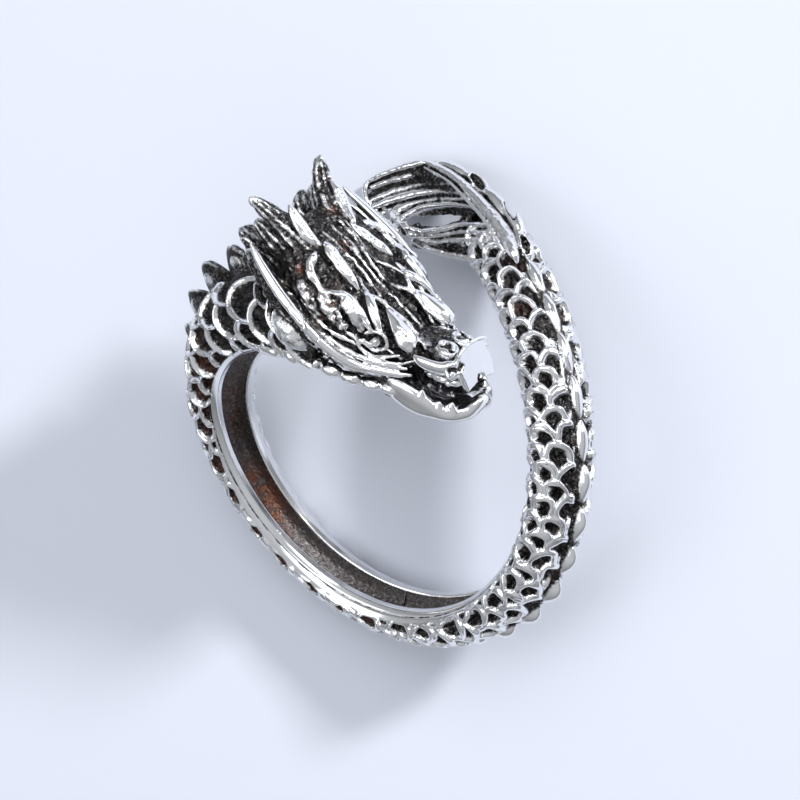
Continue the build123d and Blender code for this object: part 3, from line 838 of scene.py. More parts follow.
def head_front(clay):
    """Snout, lips, teeth, mouth, nostrils and chin, added to the half head."""
    bridge = [(1.6, 0.3, 3.2, 0.7, 0.3), (2.9, 0.42, 3.45, 0.72, 0.42), (3.7, 0.5, 3.62, 0.6, 0.4)]
    clay.strand(bridge, shine=0.42, blend=0.2)
    mound = [
        (2.8, 0.62, 3.3, 0.42, 0.34), (3.4, 0.62, 3.55, 0.6, 0.42), (4.0, 0.62, 3.75, 0.4, 0.3)]
    clay.strand(mound, shine=0.58, blend=0.12)
    for reach, size in ((0.62, 0.10), (0.33, 0.09)):
        rows = [(3.45 + reach * cos(radians(36 * k)), 0.62 + 0.8 * reach * sin(radians(36 * k)),
                 4.1, size, size + 0.03) for k in range(11)]
        clay.strand(rows, shine=0.72, blend=0.05, lift=0.02)
    for f, l in ((3.75, 0.75), (3.30, 0.42), (3.15, 0.85)):
        pit = [(f - 0.08, l, 4.1, 0.09, 0.14), (f + 0.08, l, 4.1, 0.09, 0.14)]
        clay.strand(pit, shine=0.0, carve=True, blend=0.04, lift=0.02)
    tube(clay, NOSE, 0.0, 0.10, 1.0, ends=0.2, full=4.0)
    lobe = [(4.9, 0.9, 3.5, 0.36, 0.45), (5.4, 0.86, 3.0, 0.34, 0.42), (5.7, 0.82, 2.8, 0.28, 0.30)]
    clay.strand(lobe, shine=1.0, blend=0.12)
    notch = [
        (4.9, 0.0, 2.3, 0.34, 0.4), (5.45, 0.0, 2.85, 0.3, 0.36), (5.9, 0.0, 3.2, 0.26, 0.34)]
    clay.strand(notch, carve=True, blend=0.10, shine=0.9)
    lip = [
        (2.35, 1.95, 3.3, 0.1, 0.16), (2.8, 1.9, 3.25, 0.2, 0.34), (3.4, 1.78, 3.3, 0.22, 0.42),
        (4.0, 1.62, 3.5, 0.26, 0.42), (4.55, 1.38, 3.8, 0.28, 0.5), (4.9, 1.1, 3.75, 0.28, 0.5)]
    clay.strand(lip, shine=1.0, blend=0.12)
    clay.polish(((2.9, 1.95, 3.25), (4.0, 1.7, 3.5), (4.7, 1.4, 3.8)), 0.42)
    block = clay.block((4.0, -0.4, 2.3), (6.5, 3.0, 6.0))
    f, l, u = clay.places(block)
    face = (f - 4.42) * 0.836 + (u - 4.85) * 0.549 + 0 * l + 0.03 * l ** 2
    clay.cut(block, (-face).astype(np.float32), 0.07, shine=1.0)
    edge = [
        (4.86, 1.2, 4.1, 0.06, 0.07), (4.7, 1.2, 4.4, 0.09, 0.1), (4.56, 1.02, 4.66, 0.1, 0.11),
        (4.47, 0.62, 4.82, 0.1, 0.11), (4.44, 0.0, 4.88, 0.1, 0.11)]
    clay.strand(edge, shine=1.0, blend=0.04)
    crease = [
        (4.72, 1.32, 4.5, 0.07, 0.2), (4.84, 1.27, 4.2, 0.11, 0.25), (4.9, 1.18, 3.85, 0.07, 0.2)]
    clay.strand(crease, np.array((0, 1.0, 0)), shine=0.0, carve=True, blend=0.02)
    mouth = [
        (1.3, 1.3, 1.35, 0.9, 0.25), (2.2, 1.2, 1.5, 1.2, 0.55), (3.3, 0.8, 1.7, 1.5, 0.75),
        (4.4, 0.4, 1.95, 1.6, 0.82), (5.1, 0.0, 2.1, 1.6, 0.75), (6.4, 0.0, 2.5, 1.6, 0.5)]
    clay.strand(mouth, shine=0.1, carve=True, blend=0.08)
    gum = [
        (3.0, 1.6, 2.45, 0.12, 0.16), (3.9, 1.6, 2.75, 0.22, 0.26), (4.5, 1.5, 2.9, 0.24, 0.26),
        (5.0, 1.25, 2.85, 0.16, 0.18)]
    clay.strand(gum, shine=0.50, blend=0.10, flutes=5, flute_depth=0.25)
    for f in (3.35, 3.75, 4.2, 4.6):
        knob = [(f, 1.72, np.interp(f, (3.0, 3.9, 4.6), (2.5, 2.8, 2.95)), 0.12, 0.16)] * 2
        knob[1] = (f + 0.12, *knob[1][1:])
        clay.strand(knob, shine=0.75, blend=0.04)
    jaw_lip = [
        (1.2, 2.6, 0.9, 0.2, 0.4), (1.99, 2.42, 0.95, 0.28, 0.6), (2.74, 2.3, 0.92, 0.32, 0.68),
        (3.51, 2.12, 0.88, 0.32, 0.6), (4.22, 1.92, 0.85, 0.28, 0.42),
        (4.84, 1.65, 0.8, 0.32, 0.38), (5.39, 1.2, 0.82, 0.34, 0.4), (5.75, 0.7, 0.97, 0.34, 0.42),
        (5.88, 0.3, 1.3, 0.34, 0.44), (5.9, 0.0, 1.42, 0.34, 0.44)]
    clay.strand(jaw_lip, shine=1.0, blend=0.12)
    under = [
        (1.6, 1.75, 0.35, 0.8, 0.45), (3.2, 1.4, 0.22, 0.95, 0.45), (4.5, 1.0, 0.42, 0.85, 0.42),
        (5.15, 0.5, 0.8, 0.65, 0.42), (5.3, 0.0, 0.95, 0.65, 0.42)]
    clay.strand(under, shine=1.0, blend=0.4)
    clay.polish([(2.6, 2.2, 0.8), (4.0, 1.9, 0.7), (5.0, 1.4, 0.7), (5.8, 0.3, 1.2)], 0.85)
    clay.polish([(1.8, 1.2, -0.4), (3.0, 0.8, -0.3), (4.0, 0.8, -0.1), (5.2, 0.4, 0.5)], 0.9)
    for f, l, low, high, size in ((4.46, 1.80, 0.95, 1.36, 0.50), (5.05, 1.42, 1.05, 1.50, 0.50),
                                  (3.45, 2.1, 1.2, 1.62, 0.36)):
        tooth = [(f, l, low, 0.24, size), (f, l, 0.5 * (low + high), 0.19, 0.62 * size),
                 (f, l, high, 0.10, 0.12)]
        clay.strand(tooth, np.array((1.0, 0, 0)), shine=1.0, blend=0.06)
    block = clay.block((-8.0, -0.4, -2.4), (6.0, 3.8, 0.5))
    f, l, u = clay.places(block)
    low = step_between(0.35, -0.25, u) * step_between(3.6, 2.9, l) * step_between(-7.5, -6.5, f)
    clay.shine[block] = np.maximum(clay.shine[block], 0.92 * low)
    # Polished plates along the chin and a smooth one on the neck
    strip = [
        (-7.2, 4.1, -1.9, 0.12, 0.14), (-6.24, 4.15, -1.55, 0.2, 0.26),
        (-5.41, 4.15, -1.15, 0.22, 0.28), (-4.6, 4.1, -0.75, 0.2, 0.26)]
    clay.strand(strip, shine=1.0, blend=0.1)
    for k, f in enumerate((-4.0, -2.75, -1.6, -0.5, 0.55, 1.5)):
        l, u = (np.interp(f, (-4.2, -3.2, -1.83, -0.76, 0.13, 1.08, 2.0), line)
                for line in ((4.15, 4.1, 3.95, 3.6, 3.2, 2.8, 2.4),
                             (-0.35, 0.12, 0.38, 0.38, 0.44, 0.56, 0.72)))
        size = 0.42 - 0.02 * k
        plate = [(f - 0.62, l - 0.12, u - 0.30, 0.14, 0.16),
                 (f - 0.15, l, u - 0.06, size * 0.85, size),
                 (f + 0.32, l - 0.06, u + 0.06, size, size),
                 (f + 0.62, l - 0.22, u + 0.12, 0.18, 0.22)]
        clay.strand(plate, np.array((0, 1.0, 0.4)), shine=1.0, blend=0.03)
    patch = [
        (-5.5, 4.2, 1.75, 0.25, 0.3), (-4.99, 4.38, 1.64, 0.6, 0.45), (-4.22, 4.48, 1.44, 0.8, 0.5),
        (-3.6, 4.42, 1.25, 0.6, 0.4), (-3.0, 4.2, 1.05, 0.2, 0.2)]
    clay.strand(patch, np.array((0, 1.0, 0.2)), shine=0.97, blend=0.04)


def whole_head(clay):
    """The half and its mirror image as one, with what differs from side to side."""
    middle = round(-clay.low[1] / clay.step)
    whole = copy(clay)
    whole.low = np.array((clay.low[0], -(clay.shape[1] - 1 - middle) * clay.step, clay.low[2]))
    for name in ("solid", "shine", "stain"):
        half = getattr(clay, name)[:, middle:]
        setattr(whole, name, np.ascontiguousarray(np.concatenate([half[:, :0:-1], half], axis=1)))
    whole.shape = np.array(whole.solid.shape)
    leaves = (
        [(-8.1, -1.42, 6.25, 0.1, 0.12), (-7.6, -1.48, 5.95, 0.32, 0.26),
         (-6.9, -1.5, 5.55, 0.4, 0.3), (-6.2, -1.45, 5.2, 0.34, 0.28),
         (-5.6, -1.3, 4.95, 0.14, 0.16)],
        [(-5.45, -1.15, 5.35, 0.1, 0.12), (-5.0, -1.25, 5.25, 0.32, 0.26),
         (-4.2, -1.38, 5.0, 0.38, 0.3), (-3.3, -1.42, 4.65, 0.32, 0.28),
         (-2.5, -1.42, 4.25, 0.12, 0.14)],
        [(-8.2, 2.1, 5.95, 0.1, 0.12), (-7.5, 2.0, 5.7, 0.3, 0.26), (-6.6, 1.7, 5.42, 0.32, 0.28),
         (-5.6, 1.3, 5.3, 0.16, 0.18)],
        [(-5.7, 1.1, 5.15, 0.1, 0.12), (-5.1, 1.3, 4.95, 0.32, 0.28),
         (-4.4, 1.55, 4.65, 0.38, 0.32), (-3.7, 1.75, 4.5, 0.3, 0.28),
         (-3.1, 1.85, 4.4, 0.12, 0.14)],
        [(-3.0, 1.5, 4.5, 0.06, 0.08), (-2.4, 1.6, 4.38, 0.12, 0.12), (-1.5, 1.7, 4.2, 0.13, 0.13),
         (-0.7, 1.7, 3.88, 0.12, 0.12), (0.3, 1.62, 3.5, 0.07, 0.08)],
    )
    # The camera's side alone shows a bead in a dark ring, and the far lip ends behind the nose
    centre = np.array((4.66, -1.50, 3.55))
    to_eye = np.array((0.384, -0.58, 0.718))
    level = np.cross(to_eye, UP)
    level /= np.linalg.norm(level)
    upright = np.cross(level, to_eye)
    bead = [(*centre - 0.05 * to_eye, 0.36, 0.36), (*centre + 0.05 * to_eye, 0.36, 0.36)]
    whole.strand(bead, blend=0.10)
    spokes = [cos(radians(45 * k)) * level + sin(radians(45 * k)) * upright for k in range(9)]
    ring = [(*(centre + 0.34 * to_eye + 0.25 * spoke), 0.10, 0.14) for spoke in spokes]
    whole.strand(ring, to_eye, shine=0.0, carve=True, blend=0.02)
    block = whole.block((1.5, 0.9, 2.6), (6.5, 3.0, 6.0))
    f, l, u = whole.places(block)
    trimmed = 1.24 + 1.4 * np.maximum(2.6 - f, 0) - l + 0 * u
    whole.cut(block, trimmed.astype(np.float32), 0.15, shine=0.5)
    far_lip = [
        (2.7, 1.2, 3.2, 0.08, 0.16), (3.4, 1.2, 3.3, 0.14, 0.34), (4.2, 1.15, 3.5, 0.14, 0.36),
        (4.7, 1.0, 3.7, 0.1, 0.3)]
    whole.strand(far_lip, shine=1.0, blend=0.08)
    for k, rows in enumerate(leaves):
        whole.strand(rows, shine=1.0, blend=0.05)
        whole.polish([row[:3] for row in rows[1:-1]], 0.30)
        if k < 4:
            line = [(f, l - 0.05, u + 0.95 * thick, 0.05, 0.10) for f, l, u, _, thick in rows[1:-1]]
            whole.strand(line, carve=True, blend=0.03)
    for f, l, u, size in ((-3.2, -2.95, 3.9, 0.7), (-5.6, -2.9, 4.3, 0.6), (-4.9, -0.2, 5.0, 0.5),
                          (-3.0, -3.6, 2.9, 0.5), (-7.0, 0.9, 5.2, 0.6)):
        block = whole.block((f - size, l - size, u - size), (f + size, l + size, u + size))
        x, y, z = whole.places(block)
        whole.stain[block] += bell(np.sqrt((x - f) ** 2 + (y - l) ** 2 + (z - u) ** 2), 0.6 * size)
    return whole


def parted(clay, place):
    """The clay cut across in two closed parts; the second starts a little under the first."""
    f = (clay.low[0] + clay.step * np.arange(clay.shape[0]))[:, None, None]
    rear, front = copy(clay), copy(clay)
    rear.solid = np.maximum(clay.solid, f - place).astype(np.float32)
    tuck = 0.03 * np.clip((place + 0.05 - f) / 0.1, 0, 1)
    front.solid = np.maximum(clay.solid + tuck, place - head_lap - f).astype(np.float32)
    return rear, front


# The tail fan

# Lobes under the tail fan: tens of degrees round the finger, height and reach as shares of
# tail_rise and tail_reach, then half width and half thickness in millimetres
TAIL_LOBES = {
    "fan_top": [
        (1.6, 0.72, 0.26, 0.6, 0.6), (0.3, 0.9, 0.32, 0.62, 0.6), (-0.7, 0.98, 0.54, 0.52, 0.5),
        (-1.4, 1.02, 0.76, 0.28, 0.3)],
    "fan_high": [
        (1.7, 0.6, 0.24, 0.6, 0.6), (0.3, 0.78, 0.36, 0.58, 0.55), (-0.6, 0.85, 0.58, 0.48, 0.46),
        (-1.35, 0.9, 0.82, 0.26, 0.28)],
    "fan_mid": [
        (1.8, 0.5, 0.24, 0.66, 0.6), (0.4, 0.64, 0.4, 0.54, 0.46), (-0.5, 0.69, 0.64, 0.48, 0.42),
        (-1.2, 0.73, 0.9, 0.26, 0.26)],
    "fan_low": [
        (2.2, 0.36, 0.3, 0.6, 0.6), (1.4, 0.4, 0.56, 0.5, 0.46), (0.6, 0.43, 0.82, 0.42, 0.4),
        (0.2, 0.44, 1.04, 0.24, 0.26)],
    "fan_base": [
        (2.6, 0.18, 0.5, 0.6, 0.55), (1.6, 0.19, 0.74, 0.56, 0.46), (0.8, 0.23, 0.88, 0.46, 0.4),
        (0.3, 0.27, 1.0, 0.26, 0.26)],
    "crest": [
        (4.4, 0.48, 0.3, 0.35, 0.4), (3.2, 0.56, 0.16, 0.52, 0.5), (2.3, 0.66, 0.06, 0.58, 0.55),
        (1.5, 0.77, 0.02, 0.56, 0.55), (0.6, 0.87, -0.02, 0.48, 0.5), (0.0, 0.92, 0.0, 0.28, 0.3)],
}
# Looks of the carving over them, and its strands in the order in which they are laid
sheet_flutes = {"blend": 0.2, "flutes": 6, "flute_depth": 0.12}
TAIL_LOOKS = {
    "line": {"shine": 0.88, "blend": 0.08},
    "sheet": {"shine": 0.66, **sheet_flutes},
    "dim_sheet": {"shine": 0.25, **sheet_flutes},
    # A sheet with no shine at all: painted shade
    "shade_sheet": {"shine": 0.0, **sheet_flutes},
    "rib": {"shine": 1.0, "blend": 0.04},
    "leaf": {"shine": 1.0, "blend": 0.05},
    "hole": {"shine": 0.2, "blend": 0.06, "carve": True},
}
TAIL_LINES = [
    # name, look, rows of x, y, z, half_width and half_thickness in the finger's frame
    ("top", "line", [
        (1.31, 13.6, -10.46, 0.1, 0.2), (0.74, 13.96, -10.28, 0.18, 0.3),
        (0.37, 14.35, -9.48, 0.22, 0.3), (-0.93, 14.4, -8.84, 0.2, 0.28),
        (-2.12, 14.29, -8.28, 0.18, 0.26), (-2.96, 14.12, -7.87, 0.12, 0.2)]),
    ("top_line", "line", [
        (1.14, 13.68, -9.59, 0.1, 0.16), (-0.23, 13.84, -8.98, 0.22, 0.24),
        (-1.6, 13.85, -8.45, 0.22, 0.24), (-2.75, 13.79, -7.88, 0.14, 0.18)]),
    ("mid_line", "line", [
        (2.95, 12.94, -9.46, 0.08, 0.16), (0.99, 13.14, -9.29, 0.2, 0.22),
        (-0.99, 13.24, -8.49, 0.24, 0.24), (-2.53, 13.16, -7.58, 0.16, 0.2)]),
    ("mid", "line", [
        (3.88, 12.31, -9.39, 0.1, 0.16), (1.71, 12.66, -9.31, 0.22, 0.24),
        (0.06, 12.84, -8.69, 0.26, 0.26), (-1.51, 12.84, -7.92, 0.26, 0.26),
        (-2.35, 12.79, -7.29, 0.16, 0.2)]),
    ("mid_low", "line", [
        (4.32, 11.99, -9.37, 0.08, 0.16), (2.04, 12.19, -9.22, 0.14, 0.2),
        (0.31, 12.35, -8.66, 0.16, 0.22), (-1.03, 12.36, -7.96, 0.16, 0.22),
        (-2.07, 12.37, -7.35, 0.12, 0.2)]),
    ("over_slot", "line", [
        (5.24, 11.21, -9.38, 0.08, 0.16), (3.33, 11.7, -9.34, 0.16, 0.24),
        (1.73, 11.95, -8.96, 0.18, 0.26), (0.57, 12.07, -8.35, 0.2, 0.26),
        (-0.05, 11.93, -7.54, 0.18, 0.26), (-0.77, 11.9, -7.13, 0.12, 0.2)]),
    # A dull sheet above the slot: painted shade for the trench wall that lies in shadow over the
    # slot
    ("slot_shade_sheet", "shade_sheet", [
        (0.41, 11.76, -8.31, 0.2, 0.16), (1.13, 11.66, -8.8, 0.26, 0.18),
        (1.94, 11.53, -9.2, 0.26, 0.18), (2.84, 11.24, -9.47, 0.2, 0.16)]),
    ("end", "line", [
        (-2.96, 14.12, -7.87, 0.1, 0.18), (-2.96, 13.78, -7.5, 0.16, 0.24),
        (-2.67, 13.19, -7.25, 0.16, 0.24), (-2.39, 12.52, -7.33, 0.16, 0.24),
        (-1.02, 11.91, -7.01, 0.14, 0.22), (0.19, 11.42, -6.7, 0.1, 0.18)]),
    ("inner_end", "line", [
        (-1.97, 12.55, -7.65, 0.1, 0.18), (-0.93, 12.07, -7.47, 0.14, 0.22),
        (0.46, 11.57, -7.02, 0.14, 0.22), (0.72, 11.09, -6.98, 0.1, 0.18)]),
    ("sheet_a", "dim_sheet", [
        (2.71, 12.84, -10.31, 0.5, 0.25), (0.83, 13.42, -9.53, 0.62, 0.3),
        (-1.22, 13.55, -8.79, 0.6, 0.3), (-2.74, 13.48, -8.02, 0.35, 0.22)]),
    ("sheet_b", "sheet", [
        (4.1, 11.84, -9.89, 0.45, 0.25), (1.39, 12.29, -9.35, 0.62, 0.3),
        (-0.63, 12.43, -8.6, 0.6, 0.3), (-2.29, 12.64, -7.76, 0.4, 0.22)]),
    ("sheet_c", "sheet", [
        (0.18, 12.12, -8.64, 0.35, 0.25), (-0.77, 12.05, -7.93, 0.5, 0.3),
        (-0.46, 11.75, -7.29, 0.35, 0.25), (0.25, 11.33, -7.05, 0.22, 0.2)]),
    ("curl", "line", [
        (5.72, 10.6, -8.9, 0.1, 0.18), (3.56, 10.67, -9.0, 0.18, 0.26),
        (2.4, 10.76, -8.24, 0.2, 0.28), (1.35, 10.92, -7.57, 0.2, 0.28),
        (0.77, 11.32, -7.14, 0.16, 0.24), (0.4, 11.69, -7.19, 0.12, 0.2)]),
    ("low_line", "line", [
        (5.88, 10.12, -8.86, 0.08, 0.16), (3.34, 10.33, -8.69, 0.14, 0.22),
        (1.94, 10.52, -7.86, 0.15, 0.22), (0.83, 10.93, -7.05, 0.12, 0.2)]),
    ("low_mid", "line", [
        (5.82, 9.56, -8.78, 0.1, 0.16), (3.37, 9.88, -8.47, 0.24, 0.24),
        (1.93, 10.16, -7.7, 0.24, 0.24), (0.86, 10.68, -7.06, 0.12, 0.18)]),
    ("low_edge", "line", [
        (5.27, 8.43, -8.64, 0.16, 0.24), (3.4, 9.08, -8.06, 0.18, 0.26),
        (2.2, 9.66, -7.56, 0.18, 0.26), (1.29, 10.15, -7.25, 0.15, 0.22),
        (0.78, 10.66, -6.96, 0.08, 0.16)]),
    ("sheet_d", "sheet", [
        (6.19, 9.63, -8.85, 0.6, 0.3), (3.32, 9.82, -8.76, 0.62, 0.3),
        (1.89, 10.15, -8.01, 0.52, 0.28), (0.85, 10.57, -7.46, 0.3, 0.22)]),
    ("rib", "rib", [
        (0.59, 14.24, -9.79, 0.1, 0.2), (0.93, 14.04, -9.91, 0.22, 0.4),
        (2.72, 13.15, -9.93, 0.28, 0.45), (4.51, 11.95, -9.65, 0.34, 0.5),
        (5.92, 10.78, -9.35, 0.42, 0.55), (7.14, 9.64, -8.98, 0.46, 0.55),
        (8.17, 8.88, -8.4, 0.28, 0.4), (8.15, 8.4, -8.4, 0.12, 0.2)]),
    ("rib_line", "rib", [
        (0.81, 14.13, -9.44, 0.05, 0.1), (2.79, 13.17, -9.39, 0.08, 0.16),
        (4.35, 11.95, -9.18, 0.1, 0.18), (5.95, 10.82, -8.77, 0.1, 0.18),
        (6.83, 9.74, -8.52, 0.1, 0.18), (7.43, 8.96, -8.31, 0.06, 0.1)]),
    ("leaf_a", "leaf", [
        (1.13, 14.08, -10.22, 0.08, 0.14), (1.78, 13.76, -10.43, 0.26, 0.28),
        (2.73, 13.33, -10.45, 0.28, 0.3), (3.58, 12.83, -10.35, 0.1, 0.16)]),
    ("leaf_b", "leaf", [
        (2.8, 13.32, -10.47, 0.08, 0.14), (3.66, 12.89, -10.47, 0.3, 0.3),
        (4.41, 12.27, -10.39, 0.36, 0.34), (4.98, 11.73, -10.17, 0.12, 0.18)]),
    ("leaf_c", "leaf", [
        (4.46, 12.26, -10.42, 0.08, 0.14), (5.15, 11.71, -10.33, 0.34, 0.34),
        (5.78, 11.07, -10.17, 0.4, 0.36), (6.25, 10.56, -9.89, 0.12, 0.18)]),
    ("leaf_d", "leaf", [
        (5.54, 11.33, -10.31, 0.08, 0.14), (6.22, 10.73, -10.21, 0.34, 0.34),
        (6.91, 9.99, -10.03, 0.42, 0.38), (7.4, 9.41, -9.63, 0.12, 0.18)]),
    ("leaf_e", "leaf", [
        (6.76, 10.03, -9.79, 0.08, 0.14), (7.4, 9.36, -9.6, 0.34, 0.34),
        (7.99, 8.65, -9.36, 0.4, 0.38), (8.02, 7.98, -9.24, 0.12, 0.18)]),
    ("pit_a", "hole", [
        (3.77, 12.97, -10.43, 0.16, 0.4), (4.22, 12.54, -10.35, 0.24, 0.4),
        (4.58, 12.21, -10.24, 0.12, 0.4)]),
    ("pit_b", "hole", [
        (5.97, 11.18, -10.45, 0.14, 0.4), (6.42, 10.74, -10.29, 0.26, 0.4),
        (6.84, 10.28, -10.06, 0.14, 0.4)]),
    ("pit_c", "hole", [
        (7.63, 9.33, -9.64, 0.14, 0.4), (7.98, 8.93, -9.42, 0.22, 0.4),
        (8.18, 8.57, -9.25, 0.12, 0.4)]),
    ("slot", "hole", [
        (1.23, 11.38, -7.65, 0.14, 1.2), (1.84, 11.24, -8.11, 0.24, 1.2),
        (2.48, 11.16, -8.51, 0.22, 1.2), (2.95, 11.07, -8.8, 0.12, 1.2)]),
]


def tail_rows(rows, share):
    """Rows of a tail lobe as points in the finger's frame, with a share of its half sizes."""
    found = []
    for turn, rise, reach, half_width, half_thick in rows:
        angle = radians(10 * turn)
        radius = finger_radius + rise * tail_rise
        place = tail_place * coil_spread + reach * tail_reach
        found.append((radius * sin(angle), radius * cos(angle), place,
                      half_width * share, half_thick * share))
    return found


def tail_clay():
    """The tail fan, in the finger's frame, cut off flat where it lies on the table."""
    clay = Clay((-5.2, 7.6, -13.0), (9.6, 15.2, -5.0), tail_cell)
    for name, rows in TAIL_LOBES.items():
        share = 0.55 if name == "crest" else 0.72
        clay.strand(tail_rows(rows, share), finger_axis, shine=0.3, blend=0.2)
    for _, look, rows in TAIL_LINES:
        clay.strand(rows, VIEW_BACK, **TAIL_LOOKS[look])
    x, y, z = clay.places(clay.block(clay.low, clay.low + clay.step * clay.shape))
    height = TABLE_UP[0] * x + TABLE_UP[1] * y + TABLE_UP[2] * z + TABLE_SHIFT[2]
    clay.solid = np.maximum(clay.solid, 0.04 - height).astype(np.float32)
    return clay


# Materials

BLACK = (0.012, 0.011, 0.012, 1)
SOOT = (0.045, 0.040, 0.038, 1)
RUST = (0.085, 0.036, 0.024, 1)
GREY_FILM = (0.20, 0.19, 0.19, 1)
BROWN_FILM = (0.30, 0.135, 0.085, 1)
BRIGHT = (0.93, 0.93, 0.94, 1)
WORN = (0.86, 0.86, 0.87, 1)
grain_height = 0.00006


def node(tree, kind, **values):
    """A new node; each value goes to the input of that name, or else to the node's own setting."""
    made = tree.nodes.new(kind)
    for key, value in values.items():
        if key in made.inputs:
            made.inputs[key].default_value = value
        else:
            setattr(made, key, value)
    return made


def silver_material():
    """Blackened cast silver: polished where the tone says so, grainy and dark in the hollows."""
    material = bpy.data.materials.new("oxidised_silver")
    material.use_nodes = True
    tree = material.node_tree
    tree.nodes.clear()
    link = tree.links.new

    def noise(size, detail=2.0, rough=0.5):
        """Cloudy noise, size features to a millimetre."""
        made = node(tree, "ShaderNodeTexNoise", Scale=size, Detail=detail, Roughness=rough)
        link(millimetres.outputs[0], made.inputs["Vector"])
        return made.outputs["Fac"]

    def ramp(source, low, high, first=0.0, last=1.0):
        """A soft step from first to last as the source goes from low to high."""
        made = node(tree, "ShaderNodeMapRange", interpolation_type="SMOOTHSTEP",
                    **{"From Min": low, "From Max": high, "To Min": first, "To Max": last})
        link(source, made.inputs["Value"])
        return made.outputs["Result"]

    def feed(made, sockets, values):
        """Numbers and colours set on their sockets, and other nodes' outputs linked to them."""
        for socket, value in zip(sockets, values):
            if isinstance(value, (int, float, tuple)):
                socket.default_value = value
            else:
                link(value, socket)
        return made

    def maths(operation, *values):
        """One operation on two values."""
        made = node(tree, "ShaderNodeMath", operation=operation)
        return feed(made, made.inputs, values).outputs[0]

    def blend(factor, *values):
        """The first colour, turning into the second as the factor grows."""
        made = node(tree, "ShaderNodeMix", data_type="RGBA")
        link(factor, made.inputs[0])
        return feed(made, made.inputs[6:8], values).outputs[2]

    def swing(size, detail, rough, amount):
        """Noise about zero."""
        return maths("MULTIPLY", maths("SUBTRACT", noise(size, detail, rough), 0.5), amount)

    out = node(tree, "ShaderNodeOutputMaterial")
    shader = node(tree, "ShaderNodeBsdfPrincipled", Metallic=1.0)
    link(shader.outputs[0], out.inputs[0])
    millimetres = node(tree, "ShaderNodeVectorMath", operation="SCALE", Scale=1000.0)
    link(node(tree, "ShaderNodeTexCoord").outputs["Object"], millimetres.inputs[0])
    tone = node(tree, "ShaderNodeAttribute", attribute_name="tone", attribute_type="GEOMETRY")
    parts = node(tree, "ShaderNodeSeparateColor")
    link(tone.outputs["Color"], parts.inputs[0])
    shine, stain, haze = parts.outputs

    uneven = maths("MULTIPLY", swing(5.0, 4.0, 0.6, 0.6), ramp(shine, 0.55, 0.95, 1.0, 0.05))
    polish = ramp(maths("ADD", shine, uneven), 0.38, 0.66)
    speck = ramp(noise(6.5, 5.0, 0.75), 0.50, 0.72)
    speck = maths("MULTIPLY", speck, ramp(shine, 0.0, 0.55, 0.18, 0.95))
    dark = blend(ramp(noise(2.2), 0.35, 0.7), BLACK, SOOT)
    rusty = maths("MULTIPLY", stain, ramp(noise(1.6, 3.0, 0.6), 0.34, 0.52))
    dark = blend(rusty, dark, RUST)
    film = maths("MULTIPLY", haze, ramp(noise(4.0, 4.0, 0.7), 0.2, 0.8, 0.25, 1.0))
    dark = blend(film, dark, GREY_FILM)
    dark = blend(maths("MULTIPLY", rusty, haze), dark, BROWN_FILM)
    silver = blend(ramp(noise(0.5), 0.3, 0.7), BRIGHT, WORN)
    link(blend(maths("MAXIMUM", polish, speck), dark, silver), shader.inputs["Base Color"])
    rough = blend(polish, (0.42, 0.42, 0.42, 1), (0.13, 0.13, 0.13, 1))
    link(maths("ADD", rough, swing(3.0, 4.0, 0.6, 0.05)), shader.inputs["Roughness"])
    grain = node(tree, "ShaderNodeBump", Distance=grain_height)
    link(noise(9.0, 3.0, 0.65), grain.inputs["Height"])
    link(ramp(shine, 0.3, 0.9, 0.9, 0.0), grain.inputs["Strength"])
    link(grain.outputs[0], shader.inputs["Normal"])
    return material


silver = silver_material()
band_cuts = (14, 108, 203, 298, 392)
band_names = ("band_tail", "band_low", "band_rise", "band_neck")
for name, first, last in zip(band_names, band_cuts, band_cuts[1:]):
    band_piece(name, first, last, silver)

half = head_clay()
head_front(half)
head = whole_head(half)
grained(head, (5, 2, 2), 3, head_grain)
for name, part in zip(("dragon_crown", "dragon_face"), parted(head, head_cut)):
    clay_piece(name, part, head_to_ring, silver)
tail = tail_clay()
grained(tail, (2, 2, 2), 4, tail_grain)
clay_piece("tail_fan", tail, lambda points: points, silver)

# Table, lights and camera

floor_mesh = bpy.data.meshes.new("table_top")
floor_mesh.from_pydata([(-2, -2, 0), (2, -2, 0), (2, 2, 0), (-2, 2, 0)], [], [(0, 1, 2, 3)])
floor = bpy.data.objects.new("table_top", floor_mesh)
bpy.context.scene.collection.objects.link(floor)
paper = bpy.data.materials.new("pale_table")
paper.use_nodes = True
paper_shader = paper.node_tree.nodes["Principled BSDF"]
paper_shader.inputs["Base Color"].default_value = (0.655, 0.685, 0.775, 1)
paper_shader.inputs["Roughness"].default_value = 0.6
floor_mesh.materials.append(paper)

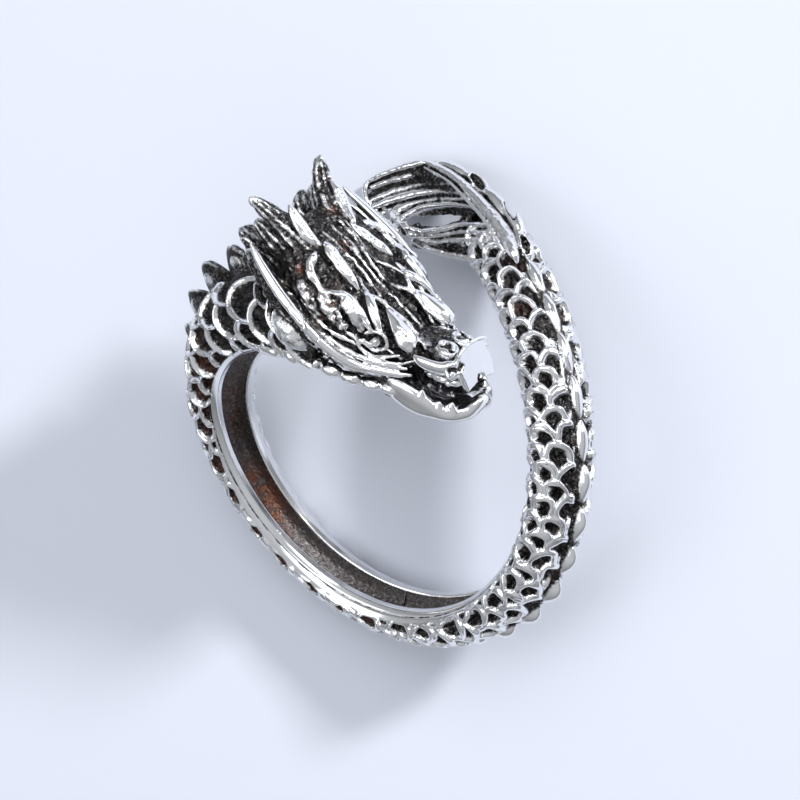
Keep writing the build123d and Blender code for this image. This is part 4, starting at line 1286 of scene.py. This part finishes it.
camera_data = bpy.data.cameras.new("camera")
camera = bpy.data.objects.new("camera", camera_data)
bpy.context.scene.collection.objects.link(camera)
axes = [Vector(TABLE @ v).normalized() for v in (VIEW_RIGHT, VIEW_UP, VIEW_BACK)]
eye = on_table(VIEW_BACK * camera_distance)
camera.matrix_world = Matrix.Translation(Vector(eye)) @ Matrix(axes).transposed().to_4x4()
camera_data.sensor_width = 36.0
camera_data.lens = 200.4
camera_data.shift_x = 0.0281
camera_data.shift_y = 0.0816
camera_data.clip_start = 0.01
bpy.context.scene.camera = camera

right, upward, back = (np.array(v) for v in axes)
target = np.array((0.0, 0.0, 0.006))


def softbox(name, direction, distance, size, power, colour=(1, 1, 1)):
    """An area light that faces the ring from a direction given in the camera's axes."""
    x, y, z = direction
    place = target + distance * (x * right + y * upward + z * back)
    data = bpy.data.lights.new(name, "AREA")
    data.shape = "RECTANGLE"
    data.size, data.size_y = size
    data.energy = power
    data.color = colour
    light = bpy.data.objects.new(name, data)
    light.location = Vector(place)
    light.rotation_euler = (Vector(target) - Vector(place)).to_track_quat("-Z", "Y").to_euler()
    bpy.context.scene.collection.objects.link(light)


softbox("key", (0.52, 0.42, 0.74), 0.60, (0.07, 0.07), 4.0)
softbox("overhead", (-0.15, 0.45, 0.88), 0.50, (0.30, 0.30), 0.75)
softbox("fill", (-0.80, -0.10, 0.6), 0.45, (0.30, 0.30), 0.45, (0.95, 0.97, 1.0))

world = bpy.data.worlds.new("studio")
world.use_nodes = True
sky = world.node_tree
heights = node(sky, "ShaderNodeSeparateXYZ")
sky.links.new(node(sky, "ShaderNodeTexCoord").outputs["Generated"], heights.inputs[0])
glow = node(sky, "ShaderNodeMapRange",
            **{"From Min": 0.0, "From Max": 0.8, "To Min": 0.20, "To Max": 0.56})
sky.links.new(heights.outputs["Z"], glow.inputs["Value"])
sky.links.new(glow.outputs["Result"], sky.nodes["Background"].inputs["Strength"])
sky.nodes["Background"].inputs["Color"].default_value = (0.93, 0.96, 1.0, 1)
bpy.context.scene.world = world
bpy.context.scene.view_settings.view_transform = "Standard"
